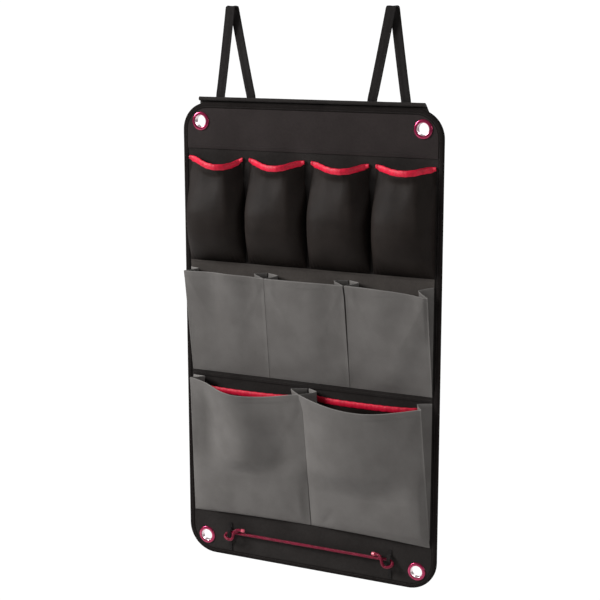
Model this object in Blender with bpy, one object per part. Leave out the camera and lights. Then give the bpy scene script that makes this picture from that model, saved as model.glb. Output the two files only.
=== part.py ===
"""Hanging pocket organizer for a tent, an awning or a camper.

A stiffened cloth panel with three rows of pockets, four eyelets, a piping strip along its top
edge, two webbing loops to hang it by and an elastic cord across its foot.

Metres, +Z up, the pockets face -Y and +X is to the viewer's right. Heights are measured from the
bottom edge of the panel and depths from the front face of its cover. The empty "panel_frame"
carries the whole model and puts the world's origin where the two loops bear on their hooks,
midway between them. The panel is as high as its rows, its header and its foot together.
"""
import math

import bmesh
import bpy
from mathutils import Vector

# Clearance between two pieces that are sewn or pressed face to face
SEAM_GAP = 0.0003
# Faces that meet at less than this many degrees are shaded as one round face
SMOOTH_ANGLE = 35

# Panel: two covers over a board, with a tape folded round the rim
PANEL_WIDTH = 0.420
TOP_CORNER_RADIUS = 0.042
BOTTOM_CORNER_RADIUS = 0.045
COVER_THICKNESS = 0.0008
BOARD_THICKNESS = 0.0015
BOARD_INSET = 0.002
RIM_TAPE_THICKNESS = 0.0008
RIM_TAPE_WIDTH = 0.008
CORNER_STEPS = 7

# Heights of what is stacked up the panel, from its foot to its header
FOOT_HEIGHT = 0.069
LARGE_HEIGHT = 0.2215
LARGE_MOUTH_DROP = 0.0095
MIDDLE_HEIGHT = 0.1625
MIDDLE_MOUTH_DROP = 0.0125
UPPER_HEIGHT = 0.159
UPPER_MOUTH_DROP = 0.012
HEADER_HEIGHT = 0.069
HEADER_THICKNESS = 0.0008

# Eyelets: the flange's profile is in shares of its width and of its crown
EYELET_FROM_SIDE = 0.031
EYELET_FROM_EDGE = 0.028
EYELET_BORE_RADIUS = 0.0088
EYELET_WALL = 0.0008
EYELET_FLANGE_RADIUS = 0.014
EYELET_CROWN = 0.0017
EYELET_PROFILE = [(0.0, 0.35), (0.2, 0.9), (0.5, 1.0), (0.9, 0.55), (1.0, 0.0)]
EYELET_SEGMENTS = 20
WASHER_RADIUS = 0.0135
WASHER_THICKNESS = 0.0010
ROLLED_LIP = 0.0016
ROLLED_LIP_THICKNESS = 0.0010
ROLLED_LIP_BEVEL = 0.0003

# Piping strip: a sleeve round a cord, with a flap sewn behind the panel
SLEEVE_RADIUS = 0.00305
SLEEVE_WALL = 0.00065
SLEEVE_LIFT = 0.00235
SLEEVE_FROM_LEFT = 0.027
SLEEVE_FROM_RIGHT = 0.031
SLEEVE_END_SLANT = 0.45
SLEEVE_SEGMENTS = 14
FLAP_THICKNESS = 0.0012
FLAP_CLEARANCE = 0.001

# Hanging loops
STRAP_WIDTH = 0.015
STRAP_THICKNESS = 0.0011
STRAP_HINGE_RISE = 0.00115
STRAP_END_CLEARANCE = 0.00095
LOOP_HEIGHT = 0.1324
LOOP_FROM_SIDE = 0.061
LOOP_FOOT_SPACING = 0.0515
LOOP_APEX_SHIFT = 0.0215
LOOP_APEX_SPREAD = 0.0035
LOOP_FOLD_RADIUS = 0.003
LOOP_FOOT_DROP = 0.00033
LOOP_FOLD_STEPS = 8
LOOP_LEG_STEPS = 5

# Knit pockets: how their depth rises from the bottom seam and falls again to the mouth
KNIT_CLOTH = 0.0009
KNIT_ROUNDNESS = 0.8
KNIT_FULLNESS = 0.75
KNIT_BELLY_AT = 0.42
KNIT_TAPER_FROM = 0.6
KNIT_TAPER_OVER = 0.3
KNIT_NARROW_FROM = 0.55
KNIT_LEVELS = [0.0, 0.06, 0.15, 0.28, 0.45, 0.62, 0.70, 0.78, 0.86]
UPPER_MOUTH_DIP = 0.0095
UPPER_DIP_SHARES = [1.0, 0.79, 0.69, 0.58]
UPPER_COUNT = len(UPPER_DIP_SHARES)
UPPER_MOUTH_SPACING = 0.0088
UPPER_SEAM_SPACING = 0.0034
UPPER_BELLY_DEPTH = 0.038
UPPER_MOUTH_DEPTH = 0.024

# The mouth of an upper pocket leans: each column's share of its width and of its depth
LEANING_MOUTH = [(0.0, 0.0), (0.109, 0.157), (0.202, 0.372), (0.293, 0.605), (0.393, 0.82),
                 (0.516, 0.976), (0.644, 0.983), (0.749, 0.818), (0.826, 0.511), (0.895, 0.178),
                 (1.0, 0.0)]

# Inner knit pockets behind the large fronts
INNER_HEIGHT = 0.1375
INNER_MOUTH_DROP = 0.0105
INNER_MOUTH_STEP = 0.002
INNER_MOUTH_DIP = 0.002
INNER_FROM_SEAM = 0.0225
INNER_FROM_SIDE = 0.0208
INNER_BELLY_DEPTH = 0.0107
INNER_MOUTH_DEPTH = 0.0099

# Red elastic binding folded over each knit mouth
ELASTIC_HEIGHT = 0.009
ELASTIC_LEG = 0.00065

# Seam tapes under the rows
UPPER_TAPE_HEIGHT = 0.0281
MIDDLE_TAPE_HEIGHT = 0.0076
TAPE_THICKNESS = 0.0008
TAPE_FROM_SIDE = 0.0008

# Middle row of grey pockets
GREY_CLOTH = 0.0009
MIDDLE_COUNT = 3
MIDDLE_FRONT_DROP = 0.004
MIDDLE_MOUTH_SAG = -0.001
MIDDLE_CORNER_DEPTH = 0.025
MIDDLE_BULGE = 0.003
MIDDLE_SKEW = 0.001
MIDDLE_RIPPLE = -0.001
MIDDLE_CREASE = 0.0185
MIDDLE_PULL_IN = 0.001
MIDDLE_LEFT_LIFT = 0.002
MIDDLE_RIGHT_LIFT = -0.009
MIDDLE_COLUMNS = 11
MIDDLE_ROWS = 7

# Lower row of large grey pockets, whose folds lie flat below one share of their height and stand
# above the next
LARGE_COUNT = 2
LARGE_FRONT_DROP = 0.0015
LARGE_MOUTH_SAG = 0.0118
LARGE_CORNER_DEPTH = 0.033
LARGE_BULGE = 0.0125
LARGE_SKEW = 0.0035
LARGE_RIPPLE = -0.003
LARGE_CREASE = 0.020
LARGE_PULL_IN = 0.005
LARGE_LEFT_DEPTH = 0.025
LARGE_LEFT_PULL_IN = 0.0087
LARGE_LEFT_LIFT = 0.0035
LARGE_COLUMNS = 16
LARGE_ROWS = 9
FOLD_START = 0.28
FOLD_FULL = 0.44
FOLD_AT_SEAM = 0.18
SAG_SHARPNESS = 1.4

# Gussets: their cloth lies on the slant, so its thickness is measured along X
GUSSET_CLOTH = 0.0012
GUSSET_START = 0.17
GUSSET_LEVELS = 4
GUSSET_STEP_HEIGHT = 0.004
GUSSET_SEAM_OFFSET = 0.0012
GUSSET_PEAK = 0.002
FRONT_EDGE_OFFSET = 0.0006

# Elastic cord across the foot
CORD_DIAMETER = 0.0044
CORD_DROP = 0.0265
CORD_BEHIND_TAB = 0.0005
CORD_STANDOFF = 0.0052
CORD_POINT_SPACING = 0.0095
CORD_TURN_SPACING = 0.0028
CAP_RADIUS = 0.0027
CAP_LENGTH = 0.0062
CAP_PROFILE = [(0.85, 0.0), (1.0, 0.15), (1.0, 0.7), (0.6, 1.0)]
CAP_SEGMENTS = 10

# Webbing tabs that hold the cord
TAB_FROM_SIDE = 0.074
TAB_WIDTH = 0.006
TAB_THICKNESS = 0.0010
TAB_ABOVE_CORD = 0.0123
TAB_FROM_RIM = 0.0005
TAB_SEWN = 0.006
TAB_ROOM = 0.0012
TAB_ARCH = 0.008

# Heights and depths that follow from the sizes above
LARGE_BOTTOM = FOOT_HEIGHT
LARGE_MOUTH = LARGE_BOTTOM + LARGE_HEIGHT
MIDDLE_BOTTOM = LARGE_MOUTH + LARGE_MOUTH_DROP
MIDDLE_MOUTH = MIDDLE_BOTTOM + MIDDLE_HEIGHT
UPPER_BOTTOM = MIDDLE_MOUTH + MIDDLE_MOUTH_DROP
UPPER_MOUTH = UPPER_BOTTOM + UPPER_HEIGHT
HEADER_BOTTOM = UPPER_MOUTH + UPPER_MOUTH_DROP
PANEL_HEIGHT = HEADER_BOTTOM + HEADER_HEIGHT
INNER_MOUTH = LARGE_MOUTH - INNER_MOUTH_DROP
UPPER_TAPE_TOP = UPPER_BOTTOM - KNIT_CLOTH
UPPER_TAPE_BOTTOM = UPPER_TAPE_TOP - UPPER_TAPE_HEIGHT
CORD_HEIGHT = FOOT_HEIGHT - CORD_DROP
REAR_FACE = 2 * COVER_THICKNESS + BOARD_THICKNESS + 2 * SEAM_GAP
RIM_FRONT = -(SEAM_GAP + RIM_TAPE_THICKNESS)
RIM_REAR = REAR_FACE + SEAM_GAP + RIM_TAPE_THICKNESS
FLAP_FRONT = RIM_REAR + SEAM_GAP
FLAP_REAR = FLAP_FRONT + FLAP_THICKNESS
FLAP_BOTTOM = PANEL_HEIGHT - EYELET_FROM_EDGE + WASHER_RADIUS + FLAP_CLEARANCE
SLEEVE_Y = FLAP_REAR - SLEEVE_RADIUS
SLEEVE_Z = PANEL_HEIGHT + SLEEVE_LIFT + SLEEVE_RADIUS
STRAP_Y = FLAP_REAR + SEAM_GAP + STRAP_THICKNESS / 2
STRAP_HINGE_Z = SLEEVE_Z + SLEEVE_RADIUS + STRAP_HINGE_RISE
LOOP_TOP = STRAP_HINGE_Z + LOOP_HEIGHT
HANG_HEIGHT = LOOP_TOP - STRAP_THICKNESS

# Places across the panel that follow from the sizes above
EYELET_HOLE_RADIUS = EYELET_BORE_RADIUS + EYELET_WALL + SEAM_GAP
ELASTIC_OUTER = KNIT_CLOTH / 2 + SEAM_GAP + ELASTIC_LEG
FIELD_HALF_WIDTH = PANEL_WIDTH / 2 - RIM_TAPE_WIDTH - SEAM_GAP - ELASTIC_OUTER
SLEEVE_LEFT_END = -(PANEL_WIDTH / 2 - SLEEVE_FROM_LEFT)
SLEEVE_RIGHT_END = PANEL_WIDTH / 2 - SLEEVE_FROM_RIGHT
LOOP_OUTER_FOOT = PANEL_WIDTH / 2 - LOOP_FROM_SIDE
LOOP_INNER_FOOT = LOOP_OUTER_FOOT - LOOP_FOOT_SPACING
LOOP_APEX = LOOP_OUTER_FOOT - LOOP_APEX_SHIFT
TAB_X = PANEL_WIDTH / 2 - TAB_FROM_SIDE


def clear_scene():
    for item in list(bpy.data.objects):
        bpy.data.objects.remove(item, do_unlink=True)


def make_material(name, colour, roughness, metallic=0.0):
    material = bpy.data.materials.new(name)
    material.use_nodes = True
    shader = material.node_tree.nodes["Principled BSDF"]
    shader.inputs["Base Color"].default_value = (*colour, 1.0)
    shader.inputs["Roughness"].default_value = roughness
    shader.inputs["Metallic"].default_value = metallic
    return material


def make_frame():
    """The empty that carries the model, at the middle of the panel's bottom edge."""
    frame = bpy.data.objects.new("panel_frame", None)
    frame.location = (0.0, -STRAP_Y, -HANG_HEIGHT)
    bpy.context.scene.collection.objects.link(frame)
    return frame


def add_piece(name, mesh_data, material, frame, pivot=(0.0, 0.0, 0.0), smooth=False):
    """Turn a bmesh in panel coordinates into an object whose origin is at the pivot."""
    bmesh.ops.recalc_face_normals(mesh_data, faces=mesh_data.faces)
    bmesh.ops.translate(mesh_data, verts=mesh_data.verts, vec=-Vector(pivot))
    mesh = bpy.data.meshes.new(name)
    mesh_data.to_mesh(mesh)
    mesh_data.free()
    mesh.materials.append(material)
    if smooth:
        mesh.shade_smooth()
        mesh.set_sharp_from_angle(angle=math.radians(SMOOTH_ANGLE))
    piece = bpy.data.objects.new(name, mesh)
    piece.parent = frame
    piece.location = pivot
    bpy.context.scene.collection.objects.link(piece)
    return piece


def loft(rings, closed_path=False):
    """A solid through rings of equal point counts, capped at both ends or joined in a loop."""
    mesh_data = bmesh.new()
    made = [[mesh_data.verts.new(point) for point in ring] for ring in rings]
    count = len(made[0])
    last = len(made) if closed_path else len(made) - 1
    for index in range(last):
        here = made[index]
        there = made[(index + 1) % len(made)]
        for side in range(count):
            after = (side + 1) % count
            mesh_data.faces.new((here[side], here[after], there[after], there[side]))
    if not closed_path:
        mesh_data.faces.new(made[0])
        mesh_data.faces.new(reversed(made[-1]))
    return mesh_data


def extruded(outline, holes, direction):
    """A plate from a flat outline and its holes, pushed along a direction."""
    mesh_data = bmesh.new()
    edges = []
    for loop in [outline] + holes:
        corners = [mesh_data.verts.new(point) for point in loop]
        for index, corner in enumerate(corners):
            edges.append(mesh_data.edges.new((corner, corners[(index + 1) % len(corners)])))
    bmesh.ops.triangle_fill(mesh_data, edges=edges, use_beauty=True)
    grown = bmesh.ops.extrude_face_region(mesh_data, geom=list(mesh_data.faces))
    moved = [item for item in grown["geom"] if isinstance(item, bmesh.types.BMVert)]
    bmesh.ops.translate(mesh_data, verts=moved, vec=Vector(direction))
    return mesh_data


def turned(profile, centre, segments):
    """A ring turned about an axis along Y from a closed profile of (radius, y)."""
    rings = []
    for step in range(segments):
        angle = math.tau * step / segments
        rings.append([(centre[0] + radius * math.cos(angle), y,
                       centre[1] + radius * math.sin(angle)) for radius, y in profile])
    return loft(rings, closed_path=True)


def shell(grid, thickness):
    """A closed sheet of cloth of even thickness about a grid of points on its middle surface."""
    rows = len(grid)
    columns = len(grid[0])
    mesh_data = bmesh.new()
    sides = ([], [])
    for row in range(rows):
        for column in range(columns):
            below = grid[max(row - 1, 0)][column]
            above = grid[min(row + 1, rows - 1)][column]
            before = grid[row][max(column - 1, 0)]
            after = grid[row][min(column + 1, columns - 1)]
            normal = (after - before).cross(above - below).normalized()
            for sign, side in zip((0.5, -0.5), sides):
                point = grid[row][column] + normal * thickness * sign
                point.y = min(point.y, -SEAM_GAP)
                side.append(mesh_data.verts.new(point))
    outside, inside = sides

    def at(side, row, column):
        return side[row * columns + column]

    for row in range(rows - 1):
        for column in range(columns - 1):
            for side in sides:
                corners = [at(side, row, column), at(side, row, column + 1),
                           at(side, row + 1, column + 1), at(side, row + 1, column)]
                mesh_data.faces.new(corners)
    border = [(0, column) for column in range(columns - 1)]
    border += [(row, columns - 1) for row in range(rows - 1)]
    border += [(rows - 1, column) for column in range(columns - 1, 0, -1)]
    border += [(row, 0) for row in range(rows - 1, 0, -1)]
    for index, here in enumerate(border):
        there = border[(index + 1) % len(border)]
        mesh_data.faces.new((at(outside, *here), at(outside, *there),
                             at(inside, *there), at(inside, *here)))
    return mesh_data


def arc(centre, radius, start, stop, steps):
    """Points (x, z) on an arc, with the angles in degrees."""
    points = []
    for step in range(steps + 1):
        angle = math.radians(start + (stop - start) * step / steps)
        points.append((centre[0] + radius * math.cos(angle), centre[1] + radius * math.sin(angle)))
    return points


def panel_outline(inset):
    """The panel's rounded outline (x, z), anticlockwise from its lower left corner."""
    half = PANEL_WIDTH / 2
    low = BOTTOM_CORNER_RADIUS
    high = TOP_CORNER_RADIUS
    corners = [((-half + low, low), low, 180, 270), ((half - low, low), low, 270, 360),
               ((half - high, PANEL_HEIGHT - high), high, 0, 90),
               ((-half + high, PANEL_HEIGHT - high), high, 90, 180)]
    points = []
    for centre, radius, start, stop in corners:
        points += arc(centre, radius - inset, start, stop, CORNER_STEPS)
    return points


def circle(centre, radius, segments):
    return arc(centre, radius, 0, 360 - 360 / segments, segments - 1)


def eyelet_centres():
    """Name and centre (x, z) of each eyelet."""
    across = PANEL_WIDTH / 2 - EYELET_FROM_SIDE
    top = PANEL_HEIGHT - EYELET_FROM_EDGE
    return [("top_left", (-across, top)), ("top_right", (across, top)),
            ("bottom_left", (-across, EYELET_FROM_EDGE)),
            ("bottom_right", (across, EYELET_FROM_EDGE))]


def eyelet_holes(y, lowest=0.0):
    loops = []
    for name, centre in eyelet_centres():
        if centre[1] > lowest:
            ring = circle(centre, EYELET_HOLE_RADIUS, EYELET_SEGMENTS)
            loops.append([(x, y, z) for x, z in ring])
    return loops


def build_panel(frame, looks):
    cover_inset = RIM_TAPE_THICKNESS + SEAM_GAP
    board_front = COVER_THICKNESS + SEAM_GAP
    rear_front = board_front + BOARD_THICKNESS + SEAM_GAP
    layers = [("front_cover", 0.0, COVER_THICKNESS, cover_inset, "canvas"),
              ("stiffener_board", board_front, BOARD_THICKNESS, cover_inset + BOARD_INSET, "board"),
              ("rear_cover", rear_front, COVER_THICKNESS, cover_inset, "canvas")]
    for name, y, thickness, inset, look in layers:
        outline = [(x, y, z) for x, z in panel_outline(inset)]
        plate = extruded(outline, eyelet_holes(y), (0.0, thickness, 0.0))
        add_piece(name, plate, looks[look], frame)

    header_y = -(SEAM_GAP + HEADER_THICKNESS)
    rim = panel_outline(RIM_TAPE_WIDTH + SEAM_GAP)
    outline = [(x, header_y, z) for x, z in rim if z > HEADER_BOTTOM]
    side = PANEL_WIDTH / 2 - RIM_TAPE_WIDTH - SEAM_GAP
    outline = [(side, header_y, HEADER_BOTTOM)] + outline + [(-side, header_y, HEADER_BOTTOM)]
    header = extruded(outline, eyelet_holes(header_y, HEADER_BOTTOM), (0.0, HEADER_THICKNESS, 0.0))
    add_piece("header_cloth", header, looks["header"], frame)

    tape = RIM_TAPE_THICKNESS
    section = [(0.0, RIM_FRONT), (RIM_TAPE_WIDTH, RIM_FRONT), (RIM_TAPE_WIDTH, RIM_FRONT + tape),
               (tape, RIM_FRONT + tape), (tape, RIM_REAR - tape),
               (RIM_TAPE_WIDTH, RIM_REAR - tape), (RIM_TAPE_WIDTH, RIM_REAR), (0.0, RIM_REAR)]
    lines = [[(x, y, z) for x, z in panel_outline(inset)] for inset, y in section]
    rings = [list(ring) for ring in zip(*lines)]
    add_piece("edge_binding", loft(rings, closed_path=True), looks["tape"], frame)


def build_eyelets(frame, looks):
    washer_front = REAR_FACE + SEAM_GAP
    washer_rear = washer_front + WASHER_THICKNESS
    lip_front = washer_rear + SEAM_GAP
    lip_rear = lip_front + ROLLED_LIP_THICKNESS
    bore = EYELET_BORE_RADIUS
    barrel = bore + EYELET_WALL
    lip = barrel + ROLLED_LIP
    width = EYELET_FLANGE_RADIUS - bore
    for name, centre in eyelet_centres():
        under_header = HEADER_THICKNESS + SEAM_GAP if centre[1] > HEADER_BOTTOM else 0.0
        seat = -(under_header + SEAM_GAP)
        flange = [(bore + out * width, seat - rise * EYELET_CROWN) for out, rise in EYELET_PROFILE]
        tail = [(barrel, seat), (barrel, lip_front), (lip, lip_front),
                (lip - ROLLED_LIP_BEVEL, lip_rear), (bore, lip_rear)]
        eyelet = turned(flange + tail, centre, EYELET_SEGMENTS)
        add_piece("eyelet_" + name, eyelet, looks["eyelet"], frame, smooth=True)
        inner = barrel + SEAM_GAP
        ring = [(inner, washer_front), (inner, washer_rear), (WASHER_RADIUS, washer_rear),
                (WASHER_RADIUS, washer_front)]
        washer = turned(ring, centre, EYELET_SEGMENTS)
        add_piece("eyelet_washer_" + name, washer, looks["eyelet"], frame, smooth=True)


def build_piping(frame, looks):
    """The strip along the top edge: a sleeve with a flap, and the cord inside it."""
    meet = math.degrees(math.acos((FLAP_FRONT - SLEEVE_Y) / SLEEVE_RADIUS))
    round_part = arc((SLEEVE_Y, SLEEVE_Z), SLEEVE_RADIUS, 0, 360 - meet, SLEEVE_SEGMENTS)
    outline = [(FLAP_REAR, FLAP_BOTTOM)] + round_part + [(FLAP_FRONT, FLAP_BOTTOM)]
    bore = circle((SLEEVE_Y, SLEEVE_Z), SLEEVE_RADIUS - SLEEVE_WALL, SLEEVE_SEGMENTS)
    length = SLEEVE_RIGHT_END - SLEEVE_LEFT_END
    sleeve = extruded([(SLEEVE_LEFT_END, y, z) for y, z in outline],
                      [[(SLEEVE_LEFT_END, y, z) for y, z in bore]], (length, 0.0, 0.0))
    top = SLEEVE_Z + SLEEVE_RADIUS
    for corner in sleeve.verts:
        if corner.co.x > 0.0:
            corner.co.x += SLEEVE_END_SLANT * (top - corner.co.z)
    add_piece("rail_sleeve", sleeve, looks["canvas"], frame)
    core = circle((SLEEVE_Y, SLEEVE_Z), SLEEVE_RADIUS - SLEEVE_WALL - SEAM_GAP, SLEEVE_SEGMENTS)
    rings = [[(x, y, z) for y, z in core] for x in (SLEEVE_LEFT_END, SLEEVE_RIGHT_END)]
    add_piece("rail_piping_cord", loft(rings), looks["piping"], frame, smooth=True)


def strap_ring(x, y, z, across_y, across_z):
    """A cross-section of the webbing: its width along X, its thickness along (y, z)."""
    half = STRAP_WIDTH / 2
    thick = STRAP_THICKNESS / 2
    ring = []
    for side_x, side_n in ((-1, -1), (1, -1), (1, 1), (-1, 1)):
        ring.append((x + side_x * half, y + side_n * thick * across_y,
                     z + side_n * thick * across_z))
    return ring


def build_loop(side_name, side, frame, looks):
    """One strap folded over its hook: up in front, over the fold and down behind."""
    feet = sorted((side * LOOP_INNER_FOOT, side * LOOP_OUTER_FOOT))
    fold_z = LOOP_TOP - LOOP_FOLD_RADIUS - STRAP_THICKNESS
    fold_r = LOOP_FOLD_RADIUS + STRAP_THICKNESS / 2
    foot_z = STRAP_HINGE_Z - LOOP_FOOT_DROP
    front_x = side * LOOP_APEX - LOOP_APEX_SPREAD / 2
    rear_x = side * LOOP_APEX + LOOP_APEX_SPREAD / 2
    rings = []
    for step in range(LOOP_LEG_STEPS):
        share = step / LOOP_LEG_STEPS
        x = feet[0] + (front_x - feet[0]) * share
        z = foot_z + (fold_z - foot_z) * share
        rings.append(strap_ring(x, STRAP_Y - fold_r * share, z, 1.0, 0.0))
    for step in range(LOOP_FOLD_STEPS + 1):
        share = step / LOOP_FOLD_STEPS
        angle = math.pi * share
        x = front_x + (rear_x - front_x) * share
        rings.append(strap_ring(x, STRAP_Y - fold_r * math.cos(angle),
                                fold_z + fold_r * math.sin(angle),
                                math.cos(angle), -math.sin(angle)))
    for step in range(1, LOOP_LEG_STEPS + 1):
        share = 1 - step / LOOP_LEG_STEPS
        x = feet[1] + (rear_x - feet[1]) * share
        z = foot_z + (fold_z - foot_z) * share
        rings.append(strap_ring(x, STRAP_Y + fold_r * share, z, -1.0, 0.0))
    pivot = (side * LOOP_APEX, STRAP_Y, STRAP_HINGE_Z)
    add_piece(side_name + "_hanging_loop", loft(rings), looks["webbing"], frame, pivot)

    sewn_top = STRAP_HINGE_Z - STRAP_END_CLEARANCE
    for foot_name, foot in (("a", feet[0]), ("b", feet[1])):
        rings = [strap_ring(foot, STRAP_Y, z, 1.0, 0.0) for z in (FLAP_BOTTOM, sewn_top)]
        add_piece(side_name + "_loop_sewn_end_" + foot_name, loft(rings), looks["webbing"], frame)


def smooth_step(value):
    value = min(max(value, 0.0), 1.0)
    return value * value * (3 - 2 * value)


def knit_grid(seam_ends, mouth_ends, sizes):
    """Points on the middle of a knit pocket's cloth, in rows from its bottom seam to its mouth.

    Each row is round across at the belly. At the mouth of an upper pocket it leans to one side.
    """
    height = sizes["mouth"] - sizes["bottom"]
    band_share = 1 - ELASTIC_HEIGHT / height
    cloth_seat = SEAM_GAP + KNIT_CLOTH / 2
    elastic_seat = SEAM_GAP + ELASTIC_OUTER
    grid = []
    for share in KNIT_LEVELS + [band_share, 1.0]:
        held = min(share, band_share)
        rise = math.sin(math.pi / 2 * min(held / KNIT_BELLY_AT, 1.0)) ** KNIT_FULLNESS
        taper = smooth_step((held - KNIT_TAPER_FROM) / KNIT_TAPER_OVER)
        depth = rise * (sizes["belly"] + (sizes["mouth_depth"] - sizes["belly"]) * taper)
        lean = taper if sizes["leaning"] else 0.0
        seat = cloth_seat + (elastic_seat - cloth_seat) * lean
        narrow = smooth_step((share - KNIT_NARROW_FROM) / (band_share - KNIT_NARROW_FROM))
        left, right = [low + (high - low) * narrow for low, high in zip(seam_ends, mouth_ends)]
        row = []
        for column, (leaning_place, leaning_swell) in enumerate(LEANING_MOUTH):
            angle = math.pi * column / (len(LEANING_MOUTH) - 1)
            across = -math.cos(angle)
            swell = max(math.sin(angle), 0.0)
            place = (1 + math.copysign(abs(across) ** KNIT_ROUNDNESS, across)) / 2
            place += (leaning_place - place) * lean
            out = swell ** KNIT_ROUNDNESS
            out += (leaning_swell - out) * lean
            dip = sizes["dip"] * (swell + (leaning_swell - swell) * lean) * held / band_share
            row.append(Vector((left + (right - left) * place, -max(depth * out, seat),
                               sizes["bottom"] + height * share - dip)))
        grid.append(row)
    return grid


def build_elastic(name, mouth, frame, looks):
    """The elastic's section is a channel upside down, carried along the mouth."""
    slot = KNIT_CLOTH / 2 + SEAM_GAP
    crest = SEAM_GAP + ELASTIC_LEG
    foot = crest - ELASTIC_HEIGHT
    section = [(-ELASTIC_OUTER, foot), (-ELASTIC_OUTER, crest), (ELASTIC_OUTER, crest),
               (ELASTIC_OUTER, foot), (slot, foot), (slot, SEAM_GAP), (-slot, SEAM_GAP), (-slot, foot)]
    rings = []
    for index, point in enumerate(mouth):
        before = mouth[max(index - 1, 0)]
        after = mouth[min(index + 1, len(mouth) - 1)]
        outward = Vector((after.y - before.y, before.x - after.x, 0.0)).normalized()
        ring = []
        for across, up in section:
            place = point + outward * across + Vector((0.0, 0.0, up))
            place.y = min(place.y, -SEAM_GAP)
            ring.append(place)
        rings.append(ring)
    add_piece(name, loft(rings), looks["elastic"], frame)


def knit_pocket(name, seam_ends, mouth_ends, sizes, frame, looks):
    """A knit pocket that swells from its side seams, with elastic folded over its mouth."""
    grid = knit_grid(seam_ends, mouth_ends, sizes)
    add_piece(name, shell(grid, KNIT_CLOTH), looks["knit"], frame)
    build_elastic(name + "_red_elastic", grid[-1], frame, looks)


def build_upper_row(frame, looks):
    field = 2 * FIELD_HALF_WIDTH
    pitch = (field + UPPER_MOUTH_SPACING) / UPPER_COUNT
    widening = (UPPER_MOUTH_SPACING - UPPER_SEAM_SPACING) / 2
    for index in range(UPPER_COUNT):
        sizes = {"bottom": UPPER_BOTTOM, "mouth": UPPER_MOUTH, "belly": UPPER_BELLY_DEPTH, "mouth_depth": UPPER_MOUTH_DEPTH, "leaning": True,
                 "dip": UPPER_MOUTH_DIP * UPPER_DIP_SHARES[index]}
        left = -FIELD_HALF_WIDTH + index * pitch
        right = left + pitch - UPPER_MOUTH_SPACING
        seam_left = left if index == 0 else left - widening
        seam_right = right if index == UPPER_COUNT - 1 else right + widening
        knit_pocket("knit_pocket_%d" % (index + 1), (seam_left, seam_right), (left, right),
                    sizes, frame, looks)


def build_inner_pockets(frame, looks):
    sizes = {"bottom": INNER_MOUTH - INNER_HEIGHT, "dip": INNER_MOUTH_DIP,
             "belly": INNER_BELLY_DEPTH, "mouth_depth": INNER_MOUTH_DEPTH, "leaning": False}
    for side_name, side in (("left", -1), ("right", 1)):
        ends = sorted((side * INNER_FROM_SEAM, side * (FIELD_HALF_WIDTH - INNER_FROM_SIDE)))
        sizes["mouth"] = INNER_MOUTH + side * INNER_MOUTH_STEP
        knit_pocket("inner_pocket_" + side_name, ends, ends, sizes, frame, looks)


def middle_folds(up):
    """How far the folds of a middle front stand out at a share of its height."""
    return up


def large_folds(up):
    """The same for a large front, whose folds lie nearly flat near its bottom seam."""
    if up < FOLD_START:
        return FOLD_AT_SEAM * up / FOLD_START
    return FOLD_AT_SEAM + (1 - FOLD_AT_SEAM) * smooth_step((up - FOLD_START) / (FOLD_FULL - FOLD_START))


def front_depth(sizes, corners, across, up):
    """How far the middle of a grey front stands off the panel."""
    first, last = [corner["depth"] for corner in corners]
    wave = sizes["bulge"] * math.sin(math.pi * across)
    wave += sizes["skew"] * math.sin(2 * math.pi * across)
    wave += sizes["ripple"] * math.sin(3 * math.pi * across)
    return SEAM_GAP + GREY_CLOTH / 2 + (first + (last - first) * across) * up + wave * sizes["folds"](up)


def build_front(name, left, right, corners, sizes, frame, looks):
    """A pocket front, hinged at its bottom seam, which leans out to its mouth."""
    edge = FRONT_EDGE_OFFSET + GREY_CLOTH / 2
    top = sizes["mouth"] - sizes["front_drop"]
    grid = []
    for row in range(sizes["rows"] + 1):
        up = row / sizes["rows"]
        x_left = left + edge + corners[0]["pull_in"] * up
        x_right = right - edge - corners[1]["pull_in"] * up
        line = []
        for column in range(sizes["columns"] + 1):
            across = column / sizes["columns"]
            lift = corners[0]["lift"] * (1 - across) + corners[1]["lift"] * across
            sag = sizes["sag"] * max(math.sin(math.pi * across), 0.0) ** SAG_SHARPNESS
            z = sizes["bottom"] + (top + lift - sag - sizes["bottom"]) * up
            line.append(Vector((x_left + (x_right - x_left) * across,
                                -front_depth(sizes, corners, across, up), z)))
        grid.append(line)
    pivot = ((left + right) / 2, -(SEAM_GAP + GREY_CLOTH / 2), sizes["bottom"])
    add_piece(name, shell(grid, GREY_CLOTH), looks["grey"], frame, pivot)


def build_gusset(name, seam, side, corner, sizes, frame, looks):
    """The cloth between a front's edge and the panel, folded inwards once along its height."""
    top = sizes["mouth"] - sizes["front_drop"] + corner["lift"]
    height = top - sizes["bottom"]
    step_at = UPPER_TAPE_BOTTOM - GUSSET_STEP_HEIGHT
    seam_height = sizes["mouth"] - sizes["bottom"]
    steps = [(z - sizes["bottom"]) / seam_height for z in (step_at - GUSSET_STEP_HEIGHT, step_at)]
    levels = [GUSSET_START + (1 - GUSSET_START) * n / GUSSET_LEVELS for n in range(GUSSET_LEVELS + 1)]
    levels = sorted(levels + [share for share in steps if GUSSET_START < share < 1])
    half = GUSSET_CLOTH / 2
    x_back = seam + side * GUSSET_SEAM_OFFSET
    rings = []
    for up in levels:
        over_tape = TAPE_THICKNESS + SEAM_GAP if steps[1] <= up else 0.0
        back = -(SEAM_GAP + over_tape)
        front = GREY_CLOTH - SEAM_GAP - corner["depth"] * up
        x_crease = x_back + side * sizes["crease"] * up
        x_front = x_back + side * corner["pull_in"] * up
        z = sizes["bottom"] + height * up
        tilt = (sizes["mouth"] - top) * up
        path = [(x_back, back, z + tilt),
                (x_crease, (back + front) / 2, z + tilt / 2 + GUSSET_PEAK * up),
                (x_front, front, z)]
        ring = [(x - half, y, h) for x, y, h in path]
        ring += [(x + half, y, h) for x, y, h in reversed(path)]
        rings.append(ring)
    add_piece(name, loft(rings), looks["grey"], frame)


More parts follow.
